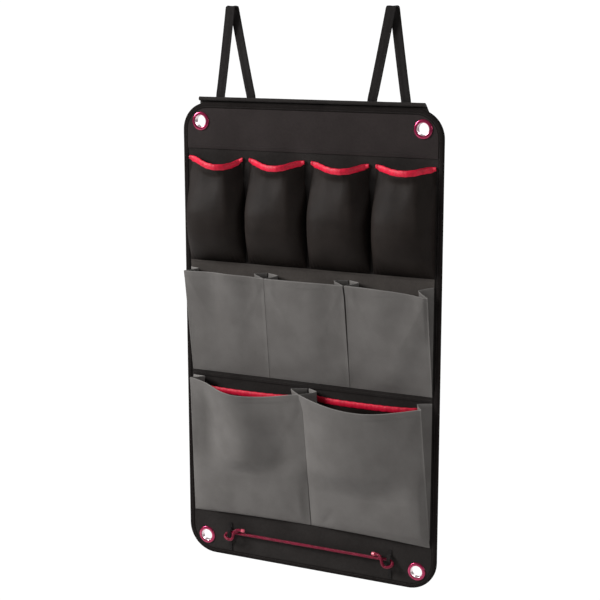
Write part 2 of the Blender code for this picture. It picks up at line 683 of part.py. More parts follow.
def build_grey_row(pattern, count, sizes, frame, looks):
    """A row of grey pockets, whose outermost corners are pulled in a little at the mouth."""
    pitch = 2 * FIELD_HALF_WIDTH / count
    for index in range(count):
        name = pattern % (index + 1)
        left = -FIELD_HALF_WIDTH + index * pitch
        right = left + pitch
        corners = (sizes["left_end"] if index == 0 else sizes["corner"],
                   sizes["right_end"] if index == count - 1 else sizes["corner"])
        build_front(name + "_front", left, right, corners, sizes, frame, looks)
        build_gusset(name + "_left_gusset", left, 1, corners[0], sizes, frame, looks)
        build_gusset(name + "_right_gusset", right, -1, corners[1], sizes, frame, looks)


def front_corner(depth, pull_in=0.0, lift=0.0):
    return {"depth": depth, "pull_in": pull_in, "lift": lift}


def build_grey_rows(frame, looks):
    middle = {"bottom": MIDDLE_BOTTOM, "mouth": MIDDLE_MOUTH, "front_drop": MIDDLE_FRONT_DROP,
              "sag": MIDDLE_MOUTH_SAG, "corner": front_corner(MIDDLE_CORNER_DEPTH),
              "left_end": front_corner(MIDDLE_CORNER_DEPTH, MIDDLE_PULL_IN, MIDDLE_LEFT_LIFT),
              "right_end": front_corner(MIDDLE_CORNER_DEPTH, MIDDLE_PULL_IN, MIDDLE_RIGHT_LIFT),
              "bulge": MIDDLE_BULGE, "skew": MIDDLE_SKEW, "ripple": MIDDLE_RIPPLE,
              "crease": MIDDLE_CREASE,
              "folds": middle_folds, "columns": MIDDLE_COLUMNS, "rows": MIDDLE_ROWS}
    large = {"bottom": LARGE_BOTTOM, "mouth": LARGE_MOUTH, "front_drop": LARGE_FRONT_DROP,
             "sag": LARGE_MOUTH_SAG, "corner": front_corner(LARGE_CORNER_DEPTH),
             "left_end": front_corner(LARGE_LEFT_DEPTH, LARGE_LEFT_PULL_IN, LARGE_LEFT_LIFT),
             "right_end": front_corner(LARGE_CORNER_DEPTH, LARGE_PULL_IN), "bulge": LARGE_BULGE,
             "skew": LARGE_SKEW, "ripple": LARGE_RIPPLE, "crease": LARGE_CREASE,
             "folds": large_folds, "columns": LARGE_COLUMNS, "rows": LARGE_ROWS}
    build_grey_row("middle_pocket_%d", MIDDLE_COUNT, middle, frame, looks)
    build_grey_row("large_pocket_%d", LARGE_COUNT, large, frame, looks)


def build_seam_tapes(frame, looks):
    spans = [("upper_seam_tape", UPPER_TAPE_TOP, UPPER_TAPE_HEIGHT),
             ("middle_seam_tape", MIDDLE_BOTTOM - GREY_CLOTH, MIDDLE_TAPE_HEIGHT)]
    y = -(SEAM_GAP + TAPE_THICKNESS)
    half = FIELD_HALF_WIDTH - TAPE_FROM_SIDE
    for name, high, height in spans:
        low = high - height
        outline = [(-half, y, low), (half, y, low), (half, y, high), (-half, y, high)]
        add_piece(name, extruded(outline, [], (0.0, TAPE_THICKNESS, 0.0)), looks["tape"], frame)


def smooth_route(points, spacing):
    """Even points on a Catmull-Rom curve through the route's own points."""
    dense = []
    padded = [2 * points[0] - points[1]] + points + [2 * points[-1] - points[-2]]
    for index in range(1, len(padded) - 2):
        p0, p1, p2, p3 = padded[index - 1:index + 3]
        for step in range(24):
            t = step / 24
            dense.append(0.5 * (2 * p1 + (p2 - p0) * t + (2 * p0 - 5 * p1 + 4 * p2 - p3) * t * t
                                + (3 * p1 - p0 - 3 * p2 + p3) * t ** 3))
    dense.append(points[-1])
    even = [dense[0]]
    for point in dense[1:]:
        if (point - even[-1]).length >= spacing:
            even.append(point)
    even[-1] = dense[-1]
    return even


def cord_turn(side):
    """The cord's turn round its tab, from the straight run to the end of the tail.

    The points are set by hand in cord diameters from the middle of the tab: outwards, off the
    panel and upwards.
    """
    run = CORD_STANDOFF / CORD_DIAMETER
    behind = (SEAM_GAP + CORD_DIAMETER / 2 + CORD_BEHIND_TAB) / CORD_DIAMETER
    hand_set = [(-3.41, run, 0.0), (-1.82, run - 0.23, 0.0), (0.0, behind, -0.23),
                (1.32, 1.09, -0.91), (1.32, 1.93, -1.59), (0.18, 2.39, -2.16),
                (-1.09, 2.23, -2.27), (-1.93, 2.32, -1.36), (-2.27, 2.45, 0.0),
                (-2.84, 2.23, 1.18), (-3.86, 1.77, 1.55), (-4.89, 1.55, 1.50)]
    return [Vector((side * (TAB_X + out * CORD_DIAMETER), -off * CORD_DIAMETER,
                    CORD_HEIGHT + up * CORD_DIAMETER)) for out, off, up in hand_set]


def build_cord(frame, looks):
    right_turn = smooth_route(cord_turn(1), CORD_TURN_SPACING)
    left_turn = smooth_route(cord_turn(-1), CORD_TURN_SPACING)
    start = left_turn[0]
    stop = right_turn[0]
    steps = round((stop - start).length / CORD_POINT_SPACING)
    straight = [start.lerp(stop, step / steps) for step in range(1, steps)]
    route = list(reversed(left_turn)) + straight + right_turn

    curve = bpy.data.curves.new("elastic_cord", "CURVE")
    curve.dimensions = "3D"
    spline = curve.splines.new("POLY")
    spline.points.add(len(route) - 1)
    for place, point in zip(spline.points, route):
        place.co = (*point, 1.0)
    curve.bevel_depth = CORD_DIAMETER / 2
    curve.bevel_resolution = 2
    curve.use_fill_caps = True
    curve.materials.append(looks["cord"])
    cord = bpy.data.objects.new("elastic_cord", curve)
    cord.parent = frame
    bpy.context.scene.collection.objects.link(cord)

    length = sum((after - before).length for before, after in zip(route, route[1:]))
    gap = least_gap(route)
    print("elastic cord: %.1f mm long, %d points, least gap to itself %.2f mm"
          % (length * 1000, len(route), gap * 1000))

    for side_name, turn in (("left", left_turn), ("right", right_turn)):
        ahead = (turn[-1] - turn[-2]).normalized()
        sideways = ahead.cross(Vector((0.0, 0.0, 1.0))).normalized()
        upward = sideways.cross(ahead)
        base = turn[-1] + ahead * SEAM_GAP
        rings = []
        for width, along in CAP_PROFILE:
            middle = base + ahead * CAP_LENGTH * along
            spokes = circle((0.0, 0.0), CAP_RADIUS * width, CAP_SEGMENTS)
            rings.append([middle + sideways * out + upward * up for out, up in spokes])
        add_piece("cord_cap_" + side_name, loft(rings), looks["cap"], frame, smooth=True)


def least_gap(route):
    """Least air between two stretches of the cord that lie over two diameters apart along it."""
    along = [0.0]
    for before, after in zip(route, route[1:]):
        along.append(along[-1] + (after - before).length)
    least = 1.0
    for first in range(len(route)):
        for second in range(first + 1, len(route)):
            if along[second] - along[first] > 2.5 * CORD_DIAMETER:
                least = min(least, (route[first] - route[second]).length - CORD_DIAMETER)
    return least


def build_tabs(frame, looks):
    """Webbing tabs: sewn flat at both ends, arched over the cord between them."""
    seat = -(SEAM_GAP + TAB_THICKNESS / 2)
    arch = -(2 * SEAM_GAP + CORD_DIAMETER + TAB_ROOM)
    top = CORD_HEIGHT + TAB_ABOVE_CORD
    bottom = RIM_TAPE_WIDTH + TAB_FROM_RIM
    stations = [(top, seat), (top - TAB_SEWN, seat), (CORD_HEIGHT + TAB_ARCH / 2, arch),
                (CORD_HEIGHT - TAB_ARCH / 2, arch), (bottom + TAB_SEWN, seat), (bottom, seat)]
    for side_name, side in (("left", -1), ("right", 1)):
        rings = []
        for index, (z, y) in enumerate(stations):
            before = stations[max(index - 1, 0)]
            after = stations[min(index + 1, len(stations) - 1)]
            along = Vector((0.0, after[1] - before[1], after[0] - before[0])).normalized()
            across = Vector((0.0, along.z, -along.y)) * TAB_THICKNESS / 2
            ring = []
            for edge_x, face in ((-1, -1), (1, -1), (1, 1), (-1, 1)):
                ring.append((side * TAB_X + edge_x * TAB_WIDTH / 2,
                             min(y + face * across.y, -SEAM_GAP), z + face * across.z))
            rings.append(ring)
        add_piece("cord_tab_" + side_name, loft(rings), looks["webbing"], frame)


def main():
    clear_scene()
    looks = {
        "canvas": make_material("black_canvas", (0.022, 0.019, 0.018), 0.85),
        "header": make_material("header_cloth", (0.024, 0.020, 0.019), 0.75),
        "tape": make_material("black_tape", (0.030, 0.027, 0.026), 0.80),
        "board": make_material("board_plastic", (0.60, 0.60, 0.58), 0.55),
        "piping": make_material("piping_cord", (0.08, 0.08, 0.08), 0.60),
        "knit": make_material("black_knit", (0.018, 0.016, 0.014), 0.90),
        "grey": make_material("grey_polyester", (0.145, 0.135, 0.126), 0.70),
        "elastic": make_material("red_elastic", (0.72, 0.02, 0.05), 0.55),
        "cord": make_material("red_cord", (0.62, 0.02, 0.06), 0.45),
        "eyelet": make_material("crimson_enamel", (0.35, 0.015, 0.07), 0.25, 0.85),
        "webbing": make_material("black_webbing", (0.050, 0.047, 0.046), 0.80),
        "cap": make_material("cord_cap", (0.70, 0.10, 0.16), 0.25),
    }
    frame = make_frame()
    build_panel(frame, looks)
    build_eyelets(frame, looks)
    build_piping(frame, looks)
    build_loop("left", -1, frame, looks)
    build_loop("right", 1, frame, looks)
    build_upper_row(frame, looks)
    build_seam_tapes(frame, looks)
    build_grey_rows(frame, looks)
    build_inner_pockets(frame, looks)
    build_cord(frame, looks)
    build_tabs(frame, looks)
    bpy.context.view_layer.update()


main()
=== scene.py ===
# %% [markdown]
# # A hanging pocket organizer, sewn in Blender
#
# This lesson dresses a plain engineering model of a hanging organizer until it looks like the
# sewn thing: a stiff cloth panel with four stretch pockets, three middle pockets, two large ones,
# red elastic on the mouths, four eyelets, two webbing loops and an elastic cord across the foot.
# The engineering model comes from a frame. It is never changed here. Each soft solid in it is
# hidden and a finer piece of cloth takes its place; the panel's pieces ride on the panel's body.

# %% Load the imported frame
import math

import bmesh
import bpy
import numpy as np
from mathutils import Matrix, Vector, geometry, noise


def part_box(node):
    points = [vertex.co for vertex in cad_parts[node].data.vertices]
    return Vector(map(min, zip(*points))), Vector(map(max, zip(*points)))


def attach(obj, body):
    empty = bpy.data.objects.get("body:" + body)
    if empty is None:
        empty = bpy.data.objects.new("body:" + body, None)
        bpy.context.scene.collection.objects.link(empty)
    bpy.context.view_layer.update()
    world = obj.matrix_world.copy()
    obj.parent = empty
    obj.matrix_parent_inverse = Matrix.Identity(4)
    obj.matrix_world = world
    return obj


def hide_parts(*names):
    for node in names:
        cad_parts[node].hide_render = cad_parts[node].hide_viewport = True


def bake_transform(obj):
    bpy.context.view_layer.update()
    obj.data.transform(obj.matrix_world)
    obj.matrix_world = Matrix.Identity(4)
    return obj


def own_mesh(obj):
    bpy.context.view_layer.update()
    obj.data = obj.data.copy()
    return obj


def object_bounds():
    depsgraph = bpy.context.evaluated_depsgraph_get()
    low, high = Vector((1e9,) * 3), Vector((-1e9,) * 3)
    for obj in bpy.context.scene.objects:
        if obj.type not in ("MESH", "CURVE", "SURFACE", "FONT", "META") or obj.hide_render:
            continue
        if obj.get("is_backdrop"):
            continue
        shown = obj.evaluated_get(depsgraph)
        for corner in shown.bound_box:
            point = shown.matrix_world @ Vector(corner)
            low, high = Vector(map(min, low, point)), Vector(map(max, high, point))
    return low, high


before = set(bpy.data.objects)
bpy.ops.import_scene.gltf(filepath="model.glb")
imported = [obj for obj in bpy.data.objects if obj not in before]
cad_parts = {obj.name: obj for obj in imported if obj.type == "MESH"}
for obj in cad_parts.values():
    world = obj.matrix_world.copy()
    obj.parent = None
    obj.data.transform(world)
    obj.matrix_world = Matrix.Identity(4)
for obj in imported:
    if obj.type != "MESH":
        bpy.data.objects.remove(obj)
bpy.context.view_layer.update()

# %% [markdown]
# ## One set of measures for the whole panel
#
# A maker measures a panel from its own bottom edge and from the face of its cloth, not from the
# hook it will hang on. The frame puts zero at the hook, so this cell finds where the panel's own
# zero lies in it. Every shape below is drawn in panel measures, x across, y through the cloth with
# the pockets at minus y, and z up, all in metres. One helper moves them home at the end.

# %% Find the panel's own zero
MILLIMETRE = 0.001
ORIGIN = Vector((0.0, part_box("front_cover")[0][1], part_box("edge_binding")[0][2]))


def panel_box(node):
    """The lowest and highest corners of a CAD node, in panel measures."""
    low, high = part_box(node)
    return Vector(low) - ORIGIN, Vector(high) - ORIGIN


HALF_WIDTH = panel_box("edge_binding")[1].x
PANEL_HEIGHT = panel_box("edge_binding")[1].z
# The pockets fill the field inside the bound edge, and this is half the field's width
BOUND_EDGE = 0.0097
FIELD_HALF = HALF_WIDTH - BOUND_EDGE
print("panel %.0f x %.0f mm" % (2000 * HALF_WIDTH, 1000 * PANEL_HEIGHT))

# %% [markdown]
# ## The camera comes first
#
# Everything is judged through the camera, so it is set before any cloth is made. The view is from
# the right hand side of the panel and a little above its middle, with a long lens, as for a shop
# picture. The angles were found by fitting the panel's corners and eyelets to the picture: a turn
# of just under 26 degrees, a rise of under 12 and a lens of about 86 mm from two metres away.

# %% Set up the camera
VIEW_TURN = math.radians(25.72)
VIEW_RISE = math.radians(11.59)
VIEW_ROLL = math.radians(-0.08)
VIEW_DISTANCE = 2.138
VIEW_TARGET = ORIGIN + Vector((-0.0139, 0.0, 0.4255))
LENS_MM = 85.7
SENSOR_MM = 36.0

towards_camera = Vector((math.sin(VIEW_TURN) * math.cos(VIEW_RISE),
                         -math.cos(VIEW_TURN) * math.cos(VIEW_RISE),
                         math.sin(VIEW_RISE)))
camera = bpy.data.objects.new("camera", bpy.data.cameras.new("camera"))
camera.data.lens = LENS_MM
camera.data.sensor_width = SENSOR_MM
camera.data.dof.use_dof = False
camera.location = VIEW_TARGET + towards_camera * VIEW_DISTANCE
camera.rotation_mode = "QUATERNION"
turned = (-towards_camera).to_track_quat("-Z", "Y").to_matrix()
camera.rotation_quaternion = (turned @ Matrix.Rotation(VIEW_ROLL, 3, "Z")).to_quaternion()
bpy.context.scene.collection.objects.link(camera)
bpy.context.scene.camera = camera
print("camera at", [round(value, 3) for value in camera.location])

# %% [markdown]
# ## Building cloth from rows of points
#
# Cloth is a thin solid. It could be a flat grid with a Solidify modifier, but then hems, folded
# edges and rounded webbing would each need another trick. Instead every piece here is a loft: a
# list of rings, each ring a closed loop of points, joined ring to ring. A sheet is a loft whose
# rings run along its face and back along its rear. The helper also lays a map called "cloth" over
# the faces, measured in metres along and across the piece, so that a weave keeps its true size
# wherever the cloth bends.

# %% Helper: a piece with a cloth map in metres
SMOOTH_ANGLE = 40.0


def make_piece(name, points, faces, maps, look):
    """A mesh object from points in panel measures, its faces and one (u, v) per face corner."""
    mesh = bpy.data.meshes.new(name)
    mesh.from_pydata([tuple(point) for point in np.asarray(points) + np.array(ORIGIN)], [], faces)
    layer = mesh.uv_layers.new(name="cloth")
    layer.data.foreach_set("uv", np.asarray(maps, dtype=np.float32).ravel())
    mesh.materials.append(look)
    mesh.shade_smooth()
    mesh.set_sharp_from_angle(angle=math.radians(SMOOTH_ANGLE))
    piece = bpy.data.objects.new(name, mesh)
    bpy.context.scene.collection.objects.link(piece)
    return piece


print("edges sharper than %.0f degrees stay sharp" % SMOOTH_ANGLE)


# %% Helper: a loft
def loft(name, rings, look, closed_path=False, capped=(True, True)):
    """Join rings of equal, even point counts. Open ends are capped with strips of quads."""
    rings = np.asarray(rings, dtype=float)
    count, around = rings.shape[:2]
    step_across = np.linalg.norm(np.roll(rings, -1, axis=1) - rings, axis=2)
    across = np.concatenate([np.zeros((count, 1)), np.cumsum(step_across, axis=1)], axis=1)
    step_along = np.linalg.norm(np.roll(rings, -1, axis=0) - rings, axis=2)
    along = np.concatenate([np.zeros((1, around)), np.cumsum(step_along, axis=0)], axis=0)
    along = np.concatenate([along, along[:, :1]], axis=1)
    faces = []
    maps = []
    for i in range(count if closed_path else count - 1):
        k = (i + 1) % count
        for j in range(around):
            n = (j + 1) % around
            faces.append((i * around + j, i * around + n, k * around + n, k * around + j))
            maps += [(across[i, j], along[i, j]), (across[i, j + 1], along[i, j + 1]),
                     (across[k, j + 1], along[i + 1, j + 1]), (across[k, j], along[i + 1, j])]
    if not closed_path:
        for i, flip, wanted in ((0, True, capped[0]), (count - 1, False, capped[1])):
            for j in range(around // 2 - 1 if wanted else 0):
                corners = [j, j + 1, around - 2 - j, around - 1 - j]
                if flip:
                    corners.reverse()
                faces.append(tuple(i * around + corner for corner in corners))
                maps += [(across[i, corner], along[i, corner]) for corner in corners]
    return make_piece(name, rings.reshape(-1, 3), faces, maps, look)


# %% [markdown]
# ## Turning a surface into a sheet
#
# Most pockets are easiest to think of as a single surface: rows from the bottom seam up to the
# mouth. The next helper thickens such a surface along its own normals and keeps its rear just in
# front of the panel. The thickness may differ from point to point, which is how a folded hem gets
# its double layer without a second object. The same grid also gives the size that the cloth was cut
# to, since its rows and columns have the lengths of the flat piece.

# %% Helper: a sheet of cloth about a middle surface
PRESSED_CLOTH = 0.0003


def unit(vectors):
    """The same directions with a length of one."""
    length = np.linalg.norm(vectors, axis=-1, keepdims=True)
    return vectors / np.maximum(length, 1e-12)


def surface_normals(grid):
    """Unit normals of a grid of points, towards the viewer for rows that run up the panel."""
    return unit(np.cross(np.gradient(grid, axis=1), np.gradient(grid, axis=0)))


def sheet_rings(grid, thickness, rear_limit=None):
    """Rings that run along the face of the cloth and back along its rear."""
    normals = surface_normals(grid)
    half = np.asarray(thickness)[..., None] / 2 if np.ndim(thickness) else thickness / 2
    face = grid + normals * half
    rear = grid - normals * half
    if rear_limit is not None:
        rear[..., 1] = np.minimum(rear[..., 1], rear_limit)
        face[..., 1] = np.minimum(face[..., 1], rear[..., 1] - PRESSED_CLOTH)
    return np.concatenate([face, rear[:, ::-1]], axis=1)


print("cloth is never pressed thinner than %.1f mm" % (1000 * PRESSED_CLOTH))

# %% [markdown]
# ## Painted rim light, soft steps and noise
#
# Some rims are painted paler than the rest of their piece: a painted highlight where the turned
# edges of the grey cloth catch the light, and a painted reflection of the white room in the bore of
# each eyelet. A texture could hold that, but a number stored on each point of the mesh is simpler
# and stays with the piece. The soft step, the bump and the smooth noise below shape every fold and
# dent in this lesson.

# %% Helper: painted rim light
def paint_rim_light_points(piece, rim_light):
    """Mark how much painted rim light each point of a piece gets, from zero to one. Its look reads
    the mark.
    """
    mark = piece.data.attributes.new("painted_rim_light", "FLOAT", "POINT")
    mark.data.foreach_set("value", np.asarray(rim_light, dtype=np.float32).ravel())


def paint_rim_light_edges(piece, grid_rim_light):
    """The same for a sheet made from a grid, on both its sides."""
    paint_rim_light_points(piece, np.concatenate([grid_rim_light, grid_rim_light[:, ::-1]], axis=1))


# %% Helper: soft steps, bumps and noise
def smooth_step(value):
    """From zero to one without a corner at either end."""
    value = np.clip(value, 0.0, 1.0)
    return value * value * (3 - 2 * value)


def bump_at(place, centre, width):
    """A soft bump of height one about a centre."""
    return np.exp(-((place - centre) / width) ** 2)


def crumple(points, size, seed=0.0):
    """Soft noise from minus one to one at each point, with bumps of about the given size."""
    flat = np.asarray(points).reshape(-1, 3) / size + seed
    values = [noise.noise(Vector(point)) for point in flat]
    return np.array(values).reshape(np.asarray(points).shape[:-1])


print("a soft step at a quarter, a half and three quarters of its way:",
      smooth_step(np.array([0.25, 0.5, 0.75])))

# %% [markdown]
# ## Dressing the frame
#
# A finished piece has to know the body that it moves with and the engineering solids that it stands
# for; its finish comes with its look when it is made. They could be told in two calls each time.
# One helper tells both, so that no piece is forgotten.

# %% Helper: dress the frame with a piece
def dress(piece, body, slot, *nodes):
    """Let a piece ride on its body and put it in the place of CAD nodes; the slot is not used."""
    if body is not None:
        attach(piece, body)
    if nodes:
        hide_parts(*nodes)
    print("%s: %d faces" % (piece.name, len(piece.data.polygons)))
    return piece


# %% [markdown]
# ## Looks made of nodes
#
# A cloth look needs three things: a colour that is not quite even, a weave that catches the light,
# and the faint halo of loose fibre that cloth shows at its edges. The colour comes from two sizes
# of noise, the weave from sine waves across the cloth map turned into bumps, and the halo from the
# shader's sheen. A small helper adds one node at a time, so that each recipe reads as a list.

# %% Helper: one node, one sum and one wave
def add_node(tree, kind, inputs=None, **settings):
    """One shader node. An input is a number, a colour or another node's socket."""
    made = tree.nodes.new("ShaderNode" + kind)
    for name, value in settings.items():
        setattr(made, name, value)
    for name, value in (inputs or {}).items():
        if isinstance(value, bpy.types.NodeSocket):
            tree.links.new(value, made.inputs[name])
        else:
            made.inputs[name].default_value = value
    return made


def arithmetic(tree, operation, first, second=0.0):
    """One sum, product or other operation on two numbers or sockets."""
    return add_node(tree, "Math", {0: first, 1: second}, operation=operation).outputs[0]


def wave(tree, distance, spacing):
    """A sine wave along a distance in metres."""
    turns = arithmetic(tree, "MULTIPLY", distance, math.tau / spacing)
    return arithmetic(tree, "SINE", turns)


# %% [markdown]
# ## Five ways to bind threads
#
# Each kind of cloth has its own pattern of threads: a plain weave on the panel and the fronts,
# chevrons on the knit, ribs across tape and elastic, a herringbone on the webbing and a braid on
# the cord. A picture of cloth would be quick, but it blurs close up. Two crossed waves stay sharp
# at any distance, and they need only the map in metres that every loft carries.

# %% Helper: the five patterns
def plain_weave(tree, u, v, spacing):
    """Threads that go over and under one another."""
    return arithmetic(tree, "MULTIPLY", wave(tree, u, spacing), wave(tree, v, spacing))


def knit_loops(tree, u, v, spacing):
    """Columns of small chevrons, as on the face of a stretch knit."""
    column = arithmetic(tree, "ABSOLUTE", wave(tree, u, 2 * spacing))
    slanted = arithmetic(tree, "ADD", v, arithmetic(tree, "MULTIPLY", column, spacing * 0.6))
    return arithmetic(tree, "MULTIPLY", wave(tree, slanted, spacing * 0.8), column)


def cross_ribs(tree, u, v, spacing):
    """Ribs across a tape or an elastic, with a fine thread along it."""
    ribs = arithmetic(tree, "ABSOLUTE", wave(tree, v, 2 * spacing))
    threads = arithmetic(tree, "MULTIPLY", wave(tree, u, spacing * 0.7), 0.3)
    return arithmetic(tree, "ADD", ribs, threads)


def herringbone(tree, u, v, spacing):
    """Slanted ribs that turn back in the middle of a webbing strap."""
    quarter_strap = 0.0038
    zigzag = arithmetic(tree, "PINGPONG", u, quarter_strap)
    return wave(tree, arithmetic(tree, "ADD", v, zigzag), spacing)


def braid(tree, u, v, spacing):
    """Two sets of threads that cross on the slant round a cord."""
    one = wave(tree, arithmetic(tree, "ADD", u, v), spacing)
    other = wave(tree, arithmetic(tree, "SUBTRACT", u, v), spacing)
    return arithmetic(tree, "MAXIMUM", one, other)


# %% [markdown]
# ## From pattern to finish
#
# The pattern does two jobs in a cloth look: it darkens the colour between the threads and lightens
# their tops, which is painted shade and a painted highlight, and it drives a bump so that light
# catches their tops. A paler colour is mixed in where a piece's points are marked: a painted
# highlight on rims that catch the light. Numbers that are the same all over the cloth sit on the
# shader itself.

# %% Helper: uneven and worn colours
def start_look(name, roughness, metallic=0.0):
    """A new material with its node tree and its shader."""
    material = bpy.data.materials.new(name)
    material.use_nodes = True
    shader = material.node_tree.nodes["Principled BSDF"]
    shader.inputs["Roughness"].default_value = roughness
    shader.inputs["Metallic"].default_value = metallic
    return material, material.node_tree, shader


def mixed_colour(tree, share, first, second):
    """The first colour or socket, with the second colour mixed in by its share."""
    return add_node(tree, "Mix", {0: share, 6: first, 7: (*second, 1.0)},
                    data_type="RGBA").outputs[2]


def uneven_colour(tree, dark, light, coarse, fine, weight=0.35):
    """Two sizes of noise in the piece's own space, mixed into one colour."""
    place = add_node(tree, "TexCoord").outputs["Object"]
    broad = add_node(tree, "TexNoise", {"Vector": place, "Scale": 1 / coarse, "Detail": 3.0})
    close = add_node(tree, "TexNoise", {"Vector": place, "Scale": 1 / fine, "Detail": 2.0})
    blend = add_node(tree, "Mix", {0: weight, 2: broad.outputs["Fac"], 3: close.outputs["Fac"]},
                     data_type="FLOAT")
    spread = add_node(tree, "MapRange", {"Value": blend.outputs[0], "From Min": 0.36,
                                         "From Max": 0.64})
    return mixed_colour(tree, spread.outputs[0], (*dark, 1.0), light), close.outputs["Fac"]


def rim_light_colour(tree, colour, painted_rim):
    """The paler colour, painted light on rims and bores, where a piece's points are marked, and the
    plain one elsewhere.
    """
    if painted_rim is None:
        return colour
    edge = add_node(tree, "Attribute", attribute_name="painted_rim_light").outputs["Fac"]
    return mixed_colour(tree, edge, colour, painted_rim)


# %% Helper: a whole cloth look
FIBRE_SIZE = 0.003
SHEEN_ROUGHNESS = 0.45


def cloth_look(name, dark, light, weave, spacing, depth, roughness, sheen=0.05, coarse=0.05,
               shade=0.25, sheen_tint=(0.6, 0.6, 0.6), painted_rim=None, gloss=0.10, mottle=0.35):
    """A woven or knitted finish: uneven colour, painted shade between its threads and a painted
    highlight on their tops, with bumps.
    """
    material, tree, shader = start_look(name, roughness)
    split = add_node(tree, "SeparateXYZ", {0: add_node(tree, "UVMap", uv_map="cloth").outputs[0]})
    height = weave(tree, split.outputs["X"], split.outputs["Y"], spacing)
    colour, fibre = uneven_colour(tree, dark, light, coarse, FIBRE_SIZE, mottle)
    colour = rim_light_colour(tree, colour, painted_rim)
    # The weave paints shade between the threads and a highlight on their tops
    raised = add_node(tree, "MapRange", {"Value": height, "From Min": -1.0, "From Max": 1.0,
                                         "To Min": 1.0 - shade, "To Max": 1.0 + shade * 0.6})
    toned = add_node(tree, "VectorMath", {0: colour, 1: raised.outputs[0]}, operation="MULTIPLY")
    tree.links.new(toned.outputs[0], shader.inputs["Base Color"])
    fuzzy = arithmetic(tree, "ADD", height, arithmetic(tree, "MULTIPLY", fibre, 0.8))
    bump = add_node(tree, "Bump", {"Height": fuzzy, "Strength": 0.6, "Distance": depth})
    tree.links.new(bump.outputs[0], shader.inputs["Normal"])
    shader.inputs["Sheen Weight"].default_value = sheen
    shader.inputs["Sheen Roughness"].default_value = SHEEN_ROUGHNESS
    shader.inputs["Sheen Tint"].default_value = (*sheen_tint, 1.0)
    shader.inputs["Specular IOR Level"].default_value = gloss
    print("look %s: threads %.2f mm apart" % (name, spacing * 1000))
    return material


# %% [markdown]
# ## The cloths of the panel
#
# The panel is a plain woven polyester in warm black, close to charcoal where light grazes it, and
# its header is a shade lighter. The stretch pockets are a darker knit with a faint gloss. The tall
# grey pockets are a smooth woven polyester with a slight mottle. The binding is nearly black. The
# tape under the upper row is painted clearly lighter, which is painted light that lifts it out of
# the shade of the pockets above. Real fabrics vary from bolt to bolt, so each look has two close
# colours rather than one.

# %% Woven, knitted and grey looks
black_canvas = cloth_look("black_canvas", (0.0175, 0.0148, 0.0138), (0.0262, 0.0228, 0.0215),
                          plain_weave, 0.0007, 0.00012, 0.82)
header_look = cloth_look("header_cloth", (0.0245, 0.0192, 0.0188), (0.0320, 0.0255, 0.0248),
                         plain_weave, 0.0006, 0.00010, 0.74, sheen=0.03, gloss=0.08)
# The upper tape's colour is painted lighter than the panel: painted light against the shade of the
# pockets above
seam_tape = cloth_look("seam_tape", (0.0500, 0.0435, 0.0392), (0.0680, 0.0595, 0.0540),
                       cross_ribs, 0.0009, 0.00014, 0.78)
rim_tape = cloth_look("rim_tape", (0.0105, 0.0087, 0.0083), (0.0155, 0.0131, 0.0125),
                      cross_ribs, 0.0009, 0.00014, 0.80, sheen=0.0, gloss=0.02)
black_knit = cloth_look("black_knit", (0.0120, 0.0086, 0.0072), (0.0175, 0.0131, 0.0112),
                        knit_loops, 0.0011, 0.00008, 0.55, coarse=0.04, sheen=0.02, gloss=0.09,
                        mottle=0.08)
# Its paler colour is a painted highlight on the rims that catch the light
grey_cloth = cloth_look("grey_polyester", (0.125, 0.1170, 0.111), (0.146, 0.1375, 0.131),
                        plain_weave, 0.0006, 0.00008, 0.66, coarse=0.035, shade=0.12,
                        painted_rim=(0.22, 0.209, 0.199), mottle=0.15)
black_webbing = cloth_look("black_webbing", (0.0125, 0.0108, 0.0106), (0.0205, 0.0180, 0.0175),
                           herringbone, 0.0012, 0.00022, 0.70, sheen=0.02, gloss=0.08)

# %% [markdown]
# ## Reds, metal and thread
#
# The elastic on the pocket mouths is a bright warm red with ribs across it. The cord is a braid in
# a deeper, pinker red. Thread is a black filament with a little shine. All three are cloth looks,
# because they too are made of ribs and strands.

# %% Red elastic, red cord and thread
red_elastic = cloth_look("red_elastic", (0.48, 0.002, 0.025), (0.68, 0.006, 0.038),
                         cross_ribs, 0.0011, 0.00012, 0.46, sheen=0.02, coarse=0.012, shade=0.2,
                         sheen_tint=(1.0, 0.45, 0.45), gloss=0.32)
red_cord = cloth_look("red_cord", (0.13, 0.001, 0.015), (0.21, 0.002, 0.027),
                      braid, 0.0016, 0.00014, 0.36, sheen=0.0, coarse=0.01, shade=0.3,
                      sheen_tint=(1.0, 0.5, 0.6), gloss=0.25)
thread_look = cloth_look("black_thread", (0.020, 0.018, 0.017), (0.045, 0.041, 0.039),
                         cross_ribs, 0.0004, 0.00005, 0.50, sheen=0.1)


# %% [markdown]
# ## Enamel and plastic
#
# The eyelets look like crimson enamel on metal: mostly a mirror, and paler at the lip of the bore,
# a painted reflection of the white room in the barrel. The cord's caps, the board inside the panel
# and the core of the piping are plastics; the caps are painted much paler than the cord, a painted
# highlight for the glint at the cord's ends. One recipe serves them all. A fine noise changes the
# roughness a little from place to place and stands in for tiny scratches.

# %% Enamel, caps, board and piping
COAT_ROUGHNESS = 0.12


